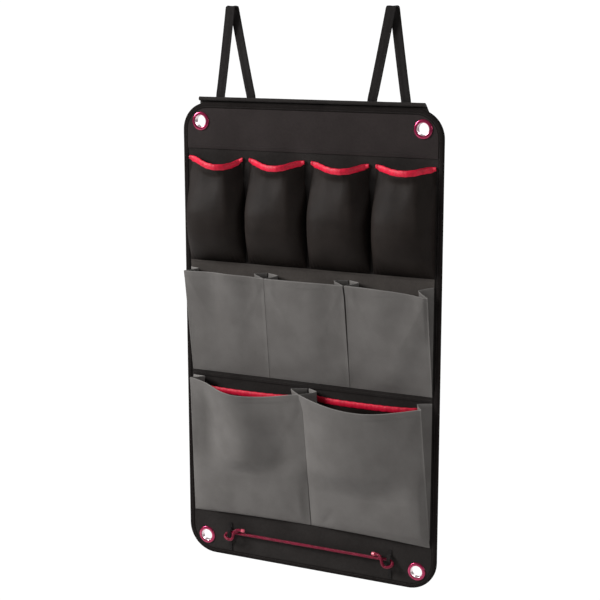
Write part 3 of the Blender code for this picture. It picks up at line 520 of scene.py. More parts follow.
def hard_look(name, dark, light, roughness, metallic, coat, scratch, painted_rim=None):
    """Metal or plastic: a slightly uneven colour and roughness, and fine scratches."""
    material, tree, shader = start_look(name, roughness, metallic)
    colour, fine = uneven_colour(tree, dark, light, 0.006, 0.0012, 0.5)
    tree.links.new(rim_light_colour(tree, colour, painted_rim), shader.inputs["Base Color"])
    scratched = add_node(tree, "MapRange", {"Value": fine, "To Min": roughness * 0.7,
                                            "To Max": roughness * 1.4})
    tree.links.new(scratched.outputs[0], shader.inputs["Roughness"])
    bump = add_node(tree, "Bump", {"Height": fine, "Strength": 0.3, "Distance": scratch})
    tree.links.new(bump.outputs[0], shader.inputs["Normal"])
    shader.inputs["Coat Weight"].default_value = coat
    shader.inputs["Coat Roughness"].default_value = COAT_ROUGHNESS
    print("look", name)
    return material


# The near-white at the bore's lip is a painted reflection of the white room
crimson_enamel = hard_look("crimson_enamel", (0.30, 0.008, 0.058), (0.47, 0.018, 0.100),
                           0.22, 0.75, 0.7, 0.00004, painted_rim=(0.95, 0.80, 0.83))
# The caps are much paler than the cord: a painted highlight for the glint at each end of the cord
cap_plastic = hard_look("cord_cap", (0.62, 0.06, 0.12), (0.78, 0.16, 0.22),
                        0.28, 0.0, 0.4, 0.00003)
board_plastic = hard_look("board_plastic", (0.52, 0.52, 0.50), (0.64, 0.64, 0.62),
                          0.5, 0.0, 0.0, 0.00005)
piping_core = hard_look("piping_cord", (0.05, 0.05, 0.05), (0.09, 0.09, 0.09),
                        0.6, 0.0, 0.0, 0.0001)

# %% [markdown]
# ## Stitches
#
# A seam is a row of short raised threads that dive into the cloth at both ends. One stitch is a
# bent capsule of four rings. The helper walks along a path, turns a copy of the capsule to follow
# it and to stand off the cloth, and puts all the copies in one mesh, because a thousand objects
# would be slow to handle and would tell a reader nothing.

# %% Helper: even points along a path
STITCH_PITCH = 0.0033
# How far before and after a point the path's direction is taken
NEARBY = 0.0004


def even_points(path, spacing):
    """Evenly spaced points along a path and the directions in which it runs there."""
    path = np.asarray(path, dtype=float)
    step = np.linalg.norm(np.diff(path, axis=0), axis=1)
    along = np.concatenate([[0.0], np.cumsum(step)])
    count = max(int(along[-1] / spacing), 1)
    at = (np.arange(count) + 0.5) * along[-1] / count
    points, ahead, behind = (
        np.stack([np.interp(at + shift, along, path[:, axis]) for axis in range(3)], axis=1)
        for shift in (0.0, NEARBY, -NEARBY))
    return points, unit(ahead - behind)


short_path = [(0.0, 0.0, 0.0), (0.05, 0.0, 0.0)]
print("five centimetres of seam get %d stitches" % len(even_points(short_path, STITCH_PITCH)[0]))


# %% Helper: rows of stitches along paths
STITCH_RADIUS = 0.00024
STITCH_SIDES = 6
# Each ring of a stitch: its place along the stitch in pitches, then its width and lift in radii
STITCH_RINGS = [(-0.40, 0.45, -0.6), (-0.26, 0.95, 0.35), (0.26, 0.95, 0.35), (0.40, 0.45, -0.6)]


def stitch_points(centre, forward, outward, sideways, pitch, radius):
    """The points of one stitch, ring by ring."""
    points = []
    for along, width, lift in STITCH_RINGS:
        for corner in range(STITCH_SIDES):
            angle = math.tau * corner / STITCH_SIDES
            points.append(centre + forward * along * pitch
                          + sideways * radius * width * math.cos(angle)
                          + outward * radius * (lift + width * math.sin(angle)))
    return points


def stitch_faces(base):
    """The sides and both ends of the stitch whose first point is number base."""
    last = base + (len(STITCH_RINGS) - 1) * STITCH_SIDES
    faces = []
    for first in range(base, last, STITCH_SIDES):
        for corner in range(STITCH_SIDES):
            after = (corner + 1) % STITCH_SIDES
            faces.append((first + corner, first + after, first + STITCH_SIDES + after,
                          first + STITCH_SIDES + corner))
    faces.append(tuple(base + corner for corner in reversed(range(STITCH_SIDES))))
    faces.append(tuple(last + corner for corner in range(STITCH_SIDES)))
    return faces


def stitch_rows(name, paths, body, slot="black_tape", facing=(0.0, -1.0, 0.0), look=None,
                pitch=STITCH_PITCH, radius=STITCH_RADIUS):
    """One mesh with a stitch at every pitch along every path, raised towards facing."""
    points = []
    faces = []
    for path in paths:
        centres, ahead = even_points(path, pitch)
        out = unit(np.array(facing) - ahead * (ahead @ np.array(facing))[:, None])
        for centre, forward, outward, sideways in zip(centres, ahead, out, np.cross(out, ahead)):
            faces += stitch_faces(len(points))
            points += stitch_points(centre, forward, outward, sideways, pitch, radius)
    maps = [(points[corner][0], points[corner][2]) for face in faces for corner in face]
    piece = make_piece(name, points, faces, maps, look or thread_look)
    return dress(piece, body, slot)


# %% [markdown]
# ## The covers, with holes for the eyelets
#
# Each cover is one flat piece of cloth cut to the panel's rounded outline. A grid of squares can't
# follow round corners and round holes, so the outline, the holes and a scatter of inside points go
# through a Delaunay triangulation, which joins them with even triangles. The inside points then
# move in and out a fraction of a millimetre, because cloth on a board is never glass flat.

# %% Helper: the panel's outline and where its eyelets lie
BOTTOM_CORNER = 0.045
TOP_CORNER = 0.042
HOLE_RADIUS = 0.0099


def rounded_outline(inset, corner_steps=14, straight=0.012):
    """The panel's outline (x, z), anticlockwise from its lower left corner."""
    points = []
    for turn, (side, radius) in enumerate([(-1, BOTTOM_CORNER), (1, BOTTOM_CORNER),
                                           (1, TOP_CORNER), (-1, TOP_CORNER)]):
        x = side * (HALF_WIDTH - radius)
        z = radius if turn < 2 else PANEL_HEIGHT - radius
        for step in range(corner_steps + 1):
            angle = math.radians((180.0 + 90.0 * turn) % 360.0 + 90.0 * step / corner_steps)
            points.append((x + (radius - inset) * math.cos(angle),
                           z + (radius - inset) * math.sin(angle)))
    filled = []
    for here, there in zip(points, points[1:] + points[:1]):
        pieces = max(1, round(math.dist(here, there) / straight))
        filled += [(here[0] + (there[0] - here[0]) * part / pieces,
                    here[1] + (there[1] - here[1]) * part / pieces) for part in range(pieces)]
    return filled


EYELETS = {}
for corner_name in ("top_left", "top_right", "bottom_left", "bottom_right"):
    low, high = panel_box("eyelet_" + corner_name)
    EYELETS[corner_name] = ((low.x + high.x) / 2, (low.z + high.z) / 2)
print("eyelets at", {name: (round(x, 3), round(z, 3)) for name, (x, z) in EYELETS.items()})

# %% Helper: triangles between an outline and its holes
HOLE_STEPS = 40
# How far inside points stay off the border, as a share of their spacing
BORDER_SHARE = 0.45
# Points closer than this count as one, in metres
SAME_POINT = 1e-7


def cut_triangles(outline, holes, spacing):
    """Points (x, z) and even triangles that fill an outline and leave its round holes open."""
    loops = [outline] + [[(x + HOLE_RADIUS * math.cos(math.tau * step / HOLE_STEPS),
                           z + HOLE_RADIUS * math.sin(math.tau * step / HOLE_STEPS))
                          for step in range(HOLE_STEPS)] for x, z in holes]
    points = []
    edges = []
    for loop_points in loops:
        first = len(points)
        points += [Vector(point) for point in loop_points]
        edges += [(first + step, first + (step + 1) % len(loop_points))
                  for step in range(len(loop_points))]
    low_x, low_z = np.min([tuple(point) for point in outline], axis=0)
    high_x, high_z = np.max([tuple(point) for point in outline], axis=0)
    border = np.array([tuple(point) for point in points])
    for row, z in enumerate(np.arange(low_z + spacing / 2, high_z, spacing)):
        for x in np.arange(low_x + spacing / 2 * (1 + row % 2), high_x, spacing):
            if np.min(np.hypot(border[:, 0] - x, border[:, 1] - z)) > spacing * BORDER_SHARE:
                points.append(Vector((x, z)))
    made = geometry.delaunay_2d_cdt(points, edges, [tuple(range(len(outline)))], 1, SAME_POINT)
    places = np.array([tuple(point) for point in made[0]])
    triangles = []
    for face in made[2]:
        middle = places[list(face)].mean(axis=0)
        if all(math.dist(middle, hole) > HOLE_RADIUS * 0.99 for hole in holes):
            triangles.append(tuple(face))
    used = sorted({corner for face in triangles for corner in face})
    renumber = {old: new for new, old in enumerate(used)}
    return places[used], [tuple(renumber[corner] for corner in face) for face in triangles]


# %% [markdown]
# ### From triangles to cloth
#
# The triangles are only a pattern. The cloth needs a face, a rear and a thin side all round each
# edge, so the pattern is used twice and its rim is closed with quads. A Solidify modifier would do
# this too, but it can't leave the rear flat while the face moves in and out.

# %% Helper: a flat cloth with holes
def flat_cloth(name, outline, holes, face_y, rear_y, look, relief, spacing=0.007):
    """A closed sheet with holes. relief gives how far each face point stands out or in."""
    places, triangles = cut_triangles(outline, holes, spacing)
    count = len(places)
    face_points = np.stack([places[:, 0], np.full(count, face_y), places[:, 1]], axis=1)
    rear_points = face_points.copy()
    rear_points[:, 1] = rear_y
    face_points[:, 1] += relief(face_points)
    sides = dict.fromkeys(side for face in triangles for side in zip(face, face[1:] + face[:1]))
    rim = [(first, second) for first, second in sides if (second, first) not in sides]
    outward = 1.0 if face_y < rear_y else -1.0
    faces = []
    for face in triangles:
        a, b, c = (places[corner] for corner in face)
        turn = (b[0] - a[0]) * (c[1] - a[1]) - (b[1] - a[1]) * (c[0] - a[0])
        forward = face if turn * outward > 0 else tuple(reversed(face))
        faces.append(forward)
        faces.append(tuple(count + corner for corner in reversed(forward)))
    turned_over = faces[0] != triangles[0]
    for first, second in rim:
        side = (second, first, count + first, count + second)
        faces.append(tuple(reversed(side)) if turned_over else side)
    everything = np.concatenate([face_points, rear_points])
    maps = [(everything[corner][0], everything[corner][2]) for face in faces for corner in face]
    return make_piece(name, everything, faces, maps, look)


# %% Cut the two covers
COVER_INSET = 0.0011
COVER_CLOTH = 0.0008
COVER_SLACK = 0.00018


def slack(points):
    """The cover lifts a little between its seams, never into the layer behind."""
    return -COVER_SLACK - COVER_SLACK * crumple(points, 0.045, 3.0)


cover_outline = rounded_outline(COVER_INSET)
front_cover = flat_cloth("panel_front_cover", cover_outline, list(EYELETS.values()),
                         0.0, COVER_CLOTH, black_canvas, slack)
dress(front_cover, "panel", "black_canvas", "front_cover")
rear_low, rear_high = panel_box("rear_cover")
rear_cover = flat_cloth("panel_rear_cover", cover_outline, list(EYELETS.values()),
                        rear_high.y, rear_low.y, black_canvas,
                        lambda points: -slack(points) - 0.0001)
dress(rear_cover, "panel", "black_canvas", "rear_cover")

# %% [markdown]
# ## The header
#
# The plain field above the pockets is a second layer of cloth. Its lower edge is turned under and
# stitched, so it stands a little prouder there. The same cutting helper makes it, with an outline
# that stops at the hem. Its relief adds the turned edge and a slight unevenness.

# %% Cut and stitch the header
HEADER_INSET = 0.0083
HEADER_HEM = 0.0075
HEADER_STITCHES = 0.0052
# The width and height that the header was cut to
header_low, header_high = panel_box("header_cloth")
header_side = header_high.x
header_outline = [(-header_side + 2 * header_side * step / 48, header_low.z) for step in range(49)]
header_outline += [(x, z) for x, z in rounded_outline(HEADER_INSET) if z > header_low.z + 0.002]


def header_relief(points):
    """The turned edge is one layer prouder than the rest, which is slightly uneven."""
    hem = 1 - smooth_step((points[:, 2] - header_low.z - HEADER_HEM) / 0.0015)
    rounded = smooth_step((points[:, 2] - header_low.z) / 0.0012)
    return -0.00040 * hem * rounded - 0.00022 * (1 + crumple(points, 0.06, 8.0)) / 2


header = flat_cloth("header_field", header_outline,
                    [EYELETS["top_left"], EYELETS["top_right"]],
                    header_low.y, header_high.y, header_look, header_relief)
dress(header, "panel", "header_cloth", "header_cloth")
hem_line = [(x, header_low.y - 0.0005, header_low.z + HEADER_STITCHES)
            for x in (-header_side + 0.001, header_side - 0.001)]
stitch_rows("header_hem_stitches", [hem_line], "panel", "header_cloth")

# %% [markdown]
# ## The edge binding
#
# A tape is folded over the rim of all three layers and sewn through. Its section is a U with a
# soft round back, a little fuller between the rim and the stitches. The section is carried round
# the outline as a closed loft. Small puckers follow the stitches, as they do wherever a straight
# tape has to turn a corner.

# %% Fold the binding round the rim
rim_low, rim_high = panel_box("edge_binding")
FRONT_Y = rim_low.y
REAR_Y = rim_high.y
MIDDLE_Y = 0.00185
# The section, as (inset from the rim, y): seven points in front, seven behind, the rest inside
BINDING_FRONT = 7
BINDING_OUTSIDE = 14
BINDING_SECTION = [(0.0079, FRONT_Y + 0.0003), (0.0070, FRONT_Y - 0.00005),
                   (0.0058, FRONT_Y), (0.0040, FRONT_Y - 0.00035),
                   (0.0022, FRONT_Y - 0.0003), (0.0009, FRONT_Y + 0.0003),
                   (0.0002, FRONT_Y + 0.0014), (0.0, MIDDLE_Y), (0.0002, REAR_Y - 0.0014),
                   (0.0009, REAR_Y - 0.0003), (0.0022, REAR_Y + 0.00012),
                   (0.0040, REAR_Y + 0.00015), (0.0058, REAR_Y - 0.0001),
                   (0.0070, REAR_Y), (0.0079, REAR_Y - 0.0003),
                   (0.0079, REAR_Y - 0.0008), (0.0040, REAR_Y - 0.0008),
                   (0.0010, REAR_Y - 0.0012), (0.0009, MIDDLE_Y), (0.0010, FRONT_Y + 0.0012),
                   (0.0040, FRONT_Y + 0.0008), (0.0079, FRONT_Y + 0.0008)]
BINDING_STITCHES = 0.0060
RIM_LINE = np.array(rounded_outline(0.0, 16, 0.006))
around_rim = np.roll(RIM_LINE, -1, axis=0) - np.roll(RIM_LINE, 1, axis=0)
RIM_NORMALS = unit(np.stack([around_rim[:, 1], -around_rim[:, 0]], axis=1))


def rim_point(position, inset, y):
    """A point beside the rim's outer line, moved in by inset."""
    outer = RIM_LINE[position]
    normal = RIM_NORMALS[position]
    return outer[0] - normal[0] * inset, y, outer[1] - normal[1] * inset


binding_rings = np.array([[rim_point(position, inset, y) for inset, y in BINDING_SECTION]
                          for position in range(len(RIM_LINE))])
pucker = np.abs(crumple(binding_rings, 0.011, 5.0) * 0.00014)
front_part, rear_part = slice(0, BINDING_FRONT), slice(BINDING_FRONT, BINDING_OUTSIDE)
binding_rings[:, front_part, 1] -= pucker[:, front_part]
binding_rings[:, rear_part, 1] += np.minimum(pucker[:, rear_part], 0.0001)
binding = loft("edge_binding_tape", binding_rings, rim_tape, closed_path=True)
dress(binding, "panel", "black_tape", "edge_binding")
for side_name, y, facing in (("front", FRONT_Y, -1.0), ("rear", REAR_Y, 1.0)):
    line = [rim_point(position, BINDING_STITCHES, y) for position in range(len(RIM_LINE))]
    stitch_rows("edge_binding_%s_stitches" % side_name, [line + line[:1]],
                "panel", facing=(0.0, facing, 0.0))

# %% [markdown]
# ## Eyelets
#
# An eyelet is two turned rings: a flange with a barrel that goes through the cloth, and a washer
# that the barrel is rolled over at the back. The picture shows a smooth crown with a bright inner
# lip, so the flange's section is a curve and not a bevel. A lathe shape is a loft whose path is a
# circle, so the same helper makes it.

# %% Helper: a lathe
LATHE_STEPS = 72


def lathe(name, profile, centre, look):
    """A closed ring turned about an axis along y, from a profile of (radius, y)."""
    rings = []
    for step in range(LATHE_STEPS):
        angle = -math.tau * step / LATHE_STEPS
        rings.append([(centre[0] + radius * math.cos(angle), y,
                       centre[1] + radius * math.sin(angle)) for radius, y in profile])
    return loft(name, rings, look, closed_path=True)


print("one turn of the lathe has %d steps" % LATHE_STEPS)

# %% Turn the eyelets and their washers
BORE = 0.0088
FLANGE = 0.0140
FLANGE_RISE = 0.0017
CROWN_STEPS = 12
for corner_name, centre in EYELETS.items():
    low, high = panel_box("eyelet_" + corner_name)
    seat = low.y + FLANGE_RISE
    crown = [(BORE + (FLANGE - BORE) * (0.5 - 0.5 * math.cos(math.pi * step / CROWN_STEPS)),
              seat - FLANGE_RISE * math.sin(math.pi * (0.10 + 0.90 * step / CROWN_STEPS)) ** 0.75)
             for step in range(CROWN_STEPS)] + [(FLANGE, seat)]
    barrel = [(BORE + 0.0008, seat), (BORE + 0.0008, high.y - 0.0010), (0.0110, high.y - 0.0010),
              (0.0112, high.y - 0.0005), (0.0106, high.y), (BORE + 0.0006, high.y),
              (BORE + 0.0001, high.y - 0.0005), (BORE, high.y - 0.0020)]
    profile = crown + barrel + [(BORE, seat + 0.0002)]
    eyelet = lathe("eyelet_ring_" + corner_name, profile, centre, crimson_enamel)
    # The bore's lip is painted near white: a painted reflection of the white room
    lip_reflection = [1.0 - smooth_step((radius - BORE - 0.0001) / 0.0006) for radius, y in profile]
    paint_rim_light_points(eyelet, np.tile(lip_reflection, LATHE_STEPS))
    dress(eyelet, "panel", "crimson_enamel", "eyelet_" + corner_name)
    low, high = panel_box("eyelet_washer_" + corner_name)
    washer = lathe("eyelet_back_" + corner_name,
                   [(HOLE_RADIUS, low.y), (HOLE_RADIUS, high.y - 0.0002), (0.0103, high.y),
                    (0.0128, high.y), (0.0134, high.y - 0.0003), (0.0135, low.y)],
                   centre, crimson_enamel)
    dress(washer, "panel", "crimson_enamel", "eyelet_washer_" + corner_name)

# %% [markdown]
# ## The piping strip
#
# Along the top edge a strip of cloth is folded round a cord and sewn behind the panel, so that the
# panel can slide into an awning rail. The sleeve is one loft along x whose section runs down the
# rear of the flap, round the cord and back up. Its skin ripples a little because the cord inside
# is pushed in by hand. The cord inside and the board in the panel keep their engineering shapes
# and only get their materials here.

# %% Wrap the sleeve round its cord
SLEEVE_STEPS = 140
ROUND_STEPS = 30
FLAP_CLOTH = 0.0012
END_SLANT = 0.45
RIPPLE = 0.00022
sleeve_low, sleeve_high = panel_box("rail_sleeve")
core_low, core_high = panel_box("rail_piping_cord")
core_y = (core_low.y + core_high.y) / 2
core_z = (core_low.z + core_high.z) / 2
neck_z = core_z - 0.0022
sleeve_radius = sleeve_high.z - core_z
flap_rear = sleeve_high.y
flap_front = flap_rear - FLAP_CLOTH
sweep = math.tau - math.acos((flap_front - core_y) / sleeve_radius)
round_part = [(core_y + sleeve_radius * math.cos(sweep * step / ROUND_STEPS),
               core_z + sleeve_radius * math.sin(sweep * step / ROUND_STEPS))
              for step in range(ROUND_STEPS + 1)]
flap_z = np.linspace(sleeve_low.z, neck_z, 9)
sleeve_section = ([(flap_rear, z) for z in flap_z] + round_part
                  + [(flap_front, z) for z in flap_z[::-1]])
sleeve_rings = []
for step in range(SLEEVE_STEPS + 1):
    share = step / SLEEVE_STEPS
    ring = []
    for y, z in sleeve_section:
        end = core_high.x + END_SLANT * (sleeve_high.z - z)
        ring.append((core_low.x + (end - core_low.x) * share, y, z))
    sleeve_rings.append(ring)
sleeve_rings = np.array(sleeve_rings)
on_tube = sleeve_rings[..., 2] > neck_z
ripple = crumple(sleeve_rings * np.array([1.0, 0.4, 0.4]), 0.014, 2.0) * RIPPLE
away = unit(np.stack([np.zeros(ripple.shape), sleeve_rings[..., 1] - core_y,
                      sleeve_rings[..., 2] - core_z], axis=-1))
sleeve_rings += away * (np.abs(ripple) * on_tube)[..., None] * -0.6
sleeve = loft("rail_sleeve_cloth", sleeve_rings, black_canvas)
dress(sleeve, "panel", "black_canvas", "rail_sleeve")
flap_lines = [[(core_low.x + 0.003, flap_rear, z), (core_high.x - 0.002, flap_rear, z)]
              for z in (sleeve_low.z + 0.003, core_z - 0.0058)]
stitch_rows("rail_flap_stitches", flap_lines, "panel", "black_canvas", facing=(0.0, 1.0, 0.0))
for node, look in (("rail_piping_cord", piping_core), ("stiffener_board", board_plastic)):
    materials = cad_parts[node].data.materials
    materials.clear()
    materials.append(look)

# %% [markdown]
# ## Webbing loops
#
# Each loop is one strap: sewn behind the panel, up to the hook, folded over and down again. Real
# webbing keeps its width at right angles to its run, so the strap's rings are turned to the path
# and not simply slid along it. The loop swings on its seam; the strap is one mesh.

# %% Helper: webbing along a path
CURVE_STEPS = 24
LOOP_SPACING = 0.0022
# Across a strap: where its columns of points lie and how thick it is there, both as shares
STRAP_COLUMNS = np.array([-1.0, -0.94, -0.8, -0.4, 0.0, 0.4, 0.8, 0.94, 1.0])
STRAP_SECTION = np.array([0.35, 0.8, 1.0, 0.94, 0.97, 0.94, 1.0, 0.8, 0.35])


def smooth_path(points, spacing):
    """Even points on a Catmull-Rom curve through the given points."""
    points = np.asarray(points, dtype=float)
    padded = np.concatenate([[2 * points[0] - points[1]], points, [2 * points[-1] - points[-2]]])
    dense = []
    for p0, p1, p2, p3 in zip(padded, padded[1:], padded[2:], padded[3:]):
        for step in range(CURVE_STEPS):
            t = step / CURVE_STEPS
            dense.append(0.5 * (2 * p1 + (p2 - p0) * t + (2 * p0 - 5 * p1 + 4 * p2 - p3) * t * t
                                + (3 * p1 - p0 - 3 * p2 + p3) * t ** 3))
    dense.append(points[-1])
    dense = np.array(dense)
    along = np.concatenate([[0.0], np.cumsum(np.linalg.norm(np.diff(dense, axis=0), axis=1))])
    at = np.linspace(0.0, along[-1], max(2, round(along[-1] / spacing) + 1))
    return np.stack([np.interp(at, along, dense[:, axis]) for axis in range(3)], axis=1)


def strap(name, path, width, thickness, across, look):
    """Webbing about a path. Its width lies along across, made square to the run."""
    run = unit(np.gradient(path, axis=0))
    across = np.broadcast_to(np.asarray(across, dtype=float), path.shape)
    sideways = unit(across - run * (across * run).sum(axis=1)[:, None])
    outward = np.cross(sideways, run)
    grid = path[:, None] + sideways[:, None] * STRAP_COLUMNS[None, :, None] * width / 2
    face = grid + outward[:, None] * STRAP_SECTION[None, :, None] * thickness / 2
    rear = grid - outward[:, None] * STRAP_SECTION[None, :, None] * thickness / 2
    return loft(name, np.concatenate([face, rear[:, ::-1]], axis=1), look)


print("five centimetres of webbing get %d rings" % len(smooth_path(short_path, LOOP_SPACING)))

# %% Helper: the two legs of a loop and its box stitches
STRAP_WIDTH = 0.015
STRAP_THICKNESS = 0.0011
HINGE_Z = panel_box("left_loop_sewn_end_a")[1].z + 0.00095
# How far each hook lies from the panel's middle, and how far each leg lies beside it there
HOOK_X = 0.1275
HOOK_SPREAD = 0.00175
# Where the points of a leg lie between its seam and its fold, as shares of its height
LEG_SHARES = (0.12, 0.3, 0.5, 0.7, 0.88)


def leg_points(foot_x, hook_x, strap_y, bulge, fold_z):
    """One leg of a loop between its seam and its fold. It stands off by bulge at the fold."""
    return [(foot_x + (hook_x - foot_x) * share, strap_y + bulge * share ** 1.6,
             HINGE_Z + (fold_z - HINGE_Z) * share) for share in LEG_SHARES]


def box_lines(foot_x, sewn_z, y):
    """A square and its two diagonals, which hold one end of a strap."""
    left, right = foot_x - 0.0055, foot_x + 0.0055
    bottom, top = sewn_z + 0.002, sewn_z + 0.013
    square = [(left, bottom), (right, bottom), (right, top), (left, top), (left, bottom)]
    return [[(x, y, z) for x, z in square], [(left, y, bottom), (right, y, top)],
            [(right, y, bottom), (left, y, top)]]


print("the loops hinge %.0f mm above the panel's foot" % (1000 * HINGE_Z))

# %% Fold the two loops over their hooks
for side_name, mirror in (("left", -1), ("right", 1)):
    low, high = panel_box(side_name + "_hanging_loop")
    strap_y = (low.y + high.y) / 2
    fold_radius = (high.y - low.y) / 2 - STRAP_THICKNESS / 2
    fold_z = high.z - STRAP_THICKNESS / 2 - fold_radius
    sewn_ends = [panel_box("%s_loop_sewn_end_%s" % (side_name, foot)) for foot in "ab"]
    feet = [(end_low.x + end_high.x) / 2 for end_low, end_high in sewn_ends]
    sewn_z = sewn_ends[0][0].z
    front_x, rear_x = mirror * HOOK_X - HOOK_SPREAD, mirror * HOOK_X + HOOK_SPREAD
    points = [(feet[0], strap_y, z) for z in (sewn_z, sewn_z + 0.011, HINGE_Z)]
    points += leg_points(feet[0], front_x, strap_y, -fold_radius, fold_z)
    for step in range(9):
        angle = math.pi * step / 8
        points.append((front_x + (rear_x - front_x) * step / 8,
                       strap_y - fold_radius * math.cos(angle),
                       fold_z + fold_radius * math.sin(angle)))
    points += leg_points(feet[1], rear_x, strap_y, fold_radius, fold_z)[::-1]
    points += [(feet[1], strap_y, z) for z in (HINGE_Z, sewn_z + 0.011, sewn_z)]
    path = smooth_path(points, LOOP_SPACING)
    loop_piece = strap(side_name + "_webbing_loop", path, STRAP_WIDTH, STRAP_THICKNESS,
                       (1.0, 0.0, 0.0), black_webbing)
    dress(loop_piece, None, "black_webbing", side_name + "_hanging_loop",
          side_name + "_loop_sewn_end_a", side_name + "_loop_sewn_end_b")
    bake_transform(loop_piece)
    box_stitches = [line for foot_x in feet
                    for line in box_lines(foot_x, sewn_z, strap_y + STRAP_THICKNESS / 2)]
    stitch_rows(side_name + "_loop_box_stitches", box_stitches, "panel", "black_webbing",
                facing=(0.0, 1.0, 0.0), pitch=0.0022, radius=0.0002)

# %% [markdown]
# ## Stretch pockets
#
# A stretch pocket starts as a knit piece wider than its place. It is gathered at its bottom seam,
# swells in the middle and is pulled in again by the elastic at its mouth. A cloth simulation could
# find that shape, but gathers this fine need a very dense mesh, so the surface is written down as
# a rule: how deep it stands at each height, how round it is across, and then a ridge, a hollow
# under the mouth, flutes, gathers and noise. At the mouth of an upper pocket the arc isn't even. It
# stands out furthest to the right of its middle and falls back steeply, and a short list of shares
# says how.

# %% Helper: the arc of a leaning mouth
KNIT_CLOTH = 0.0009
SEAM_GAP = 0.0003
ELASTIC_HEIGHT = 0.009
ELASTIC_OUTER = 0.0014
KNIT_ROUNDNESS = 0.75
BLUR = 0.03
# How far a leaning mouth stands out at each share of its width, as a share of its depth
MOUTH_PLACES = [0.0, 0.05, 0.12, 0.20, 0.27, 0.34, 0.41, 0.48, 0.54, 0.60, 0.65, 0.70, 0.75, 0.80,
                0.85, 0.90, 0.95, 1.0]
MOUTH_SWELLS = [0.0, 0.06, 0.18, 0.37, 0.55, 0.72, 0.85, 0.95, 0.99, 1.0, 0.98, 0.92, 0.82, 0.65,
                0.38, 0.15, 0.04, 0.0]


def leaning_arc(place):
    """How far a leaning mouth stands out at each share of its width, smoothed."""
    near = [np.interp(place + shift, MOUTH_PLACES, MOUTH_SWELLS) for shift in (-BLUR, 0.0, BLUR)]
    return np.mean(near, axis=0) * np.minimum(1.0, np.minimum(place, 1 - place) / BLUR)


print("half way across, a leaning mouth has %.2f of its depth" % leaning_arc(0.5))


# %% Helper: the small relief of the knit
def knit_relief(grid, place, share, band, seed):
    """Ridge, hollow, flutes, gathers and noise of a stretch pocket, in millimetres."""
    body_part = smooth_step(share / 0.1) * (1 - smooth_step((share - band + 0.06) / 0.06))
    ridge = bump_at(place, 0.84, 0.09) * bump_at(share, 0.76, 0.28)
    hollow = bump_at(place, 0.50, 0.19) * bump_at(share, 0.86, 0.17)
    flutes = np.sin(19 * math.pi * (place + 0.03 * seed)) * bump_at(share, band, 0.09)
    gathers = np.sin(30 * math.pi * (place + 0.05 * seed)) * bump_at(share, 0.0, 0.07)
    change = (3.0 * ridge - 7.0 * hollow) * body_part
    change = change + 0.30 * flutes * (share < band + 0.01) + 0.5 * gathers
    return change + 0.6 * crumple(grid, 0.040, seed) * body_part


# %% Helper: the surface of a stretch pocket
def knit_surface(seam_ends, mouth_ends, sizes, fullness, seed):
    """Rows of points from the bottom seam to the mouth, on the middle of the knit."""
    height = sizes["mouth"] - sizes["bottom"]
    band = 1 - ELASTIC_HEIGHT / height
    share = np.concatenate([np.linspace(0.0, band, 50), [(band + 1) / 2, 1.0]])[:, None]
    angle = np.linspace(0.0, math.pi, 67)[None, :]
    held = np.minimum(share, band)
    rise = np.sin(math.pi / 2 * np.minimum(held / 0.42, 1.0)) ** 0.75
    narrow = smooth_step((share - 0.55) / (band - 0.55))
    left = seam_ends[0] + (mouth_ends[0] - seam_ends[0]) * narrow
    right = seam_ends[1] + (mouth_ends[1] - seam_ends[1]) * narrow
    across = -np.cos(angle)
    swell = np.maximum(np.sin(angle), 0.0)
    place = (1 + np.sign(across) * np.abs(across) ** KNIT_ROUNDNESS) / 2
    taper = smooth_step((held - 0.48) / 0.46)
    lean = taper * sizes["lean"]
    depth = rise * (sizes["belly"] + (sizes["mouth_depth"] - sizes["belly"]) * taper)
    leaning = leaning_arc(place)
    out = swell ** KNIT_ROUNDNESS
    out = out + (leaning - out) * lean
    x = left + (right - left) * place
    z = sizes["bottom"] + height * share
    low_at = leaning_arc(np.clip(place - sizes["shift"] * swell, 0.0, 1.0))
    z = z - sizes["dip"] * (swell + (low_at - swell) * lean) * held / band
    grid = np.stack(np.broadcast_arrays(x, -depth * out, z), axis=-1).copy()
    change = knit_relief(grid, place, share, band, seed)
    grid[..., 1] -= MILLIMETRE * fullness * change * swell ** 0.6
    seat = SEAM_GAP + KNIT_CLOTH / 2 + (ELASTIC_OUTER - KNIT_CLOTH / 2) * lean
    grid[..., 1] = np.minimum(grid[..., 1], -seat)
    return grid


# %% [markdown]
# ## Elastic on a mouth
#
# The elastic is folded over the raw edge like a tiny binding and sewn while stretched, so once it
# relaxes it is plump and slightly ribbed. Its section is a tall rounded arch with a slot for the
# knit, fuller in front than behind, carried along the mouth. Each ring swells and shrinks a
# little, every few millimetres, to show the gathers between stitches.

# %% Helper: folded elastic along a mouth
# The section in millimetres, across and up. Its first points are its outside, the rest the slot
ELASTIC_SECTION = [(-1.05, -8.0), (-1.35, -7.2), (-1.40, -4.5), (-1.38, -2.0), (-1.15, -0.3),
                   (-0.62, 0.62), (0.10, 0.95), (0.95, 0.60), (1.60, -0.5), (1.98, -2.2),
                   (2.08, -4.0), (1.90, -5.9), (1.50, -7.4), (1.05, -8.0),
                   (0.76, -8.0), (0.76, -4.5), (0.76, -0.2), (-0.76, -0.2), (-0.76, -4.5),
                   (-0.76, -8.0)]
SECTION_OUTSIDE = 14


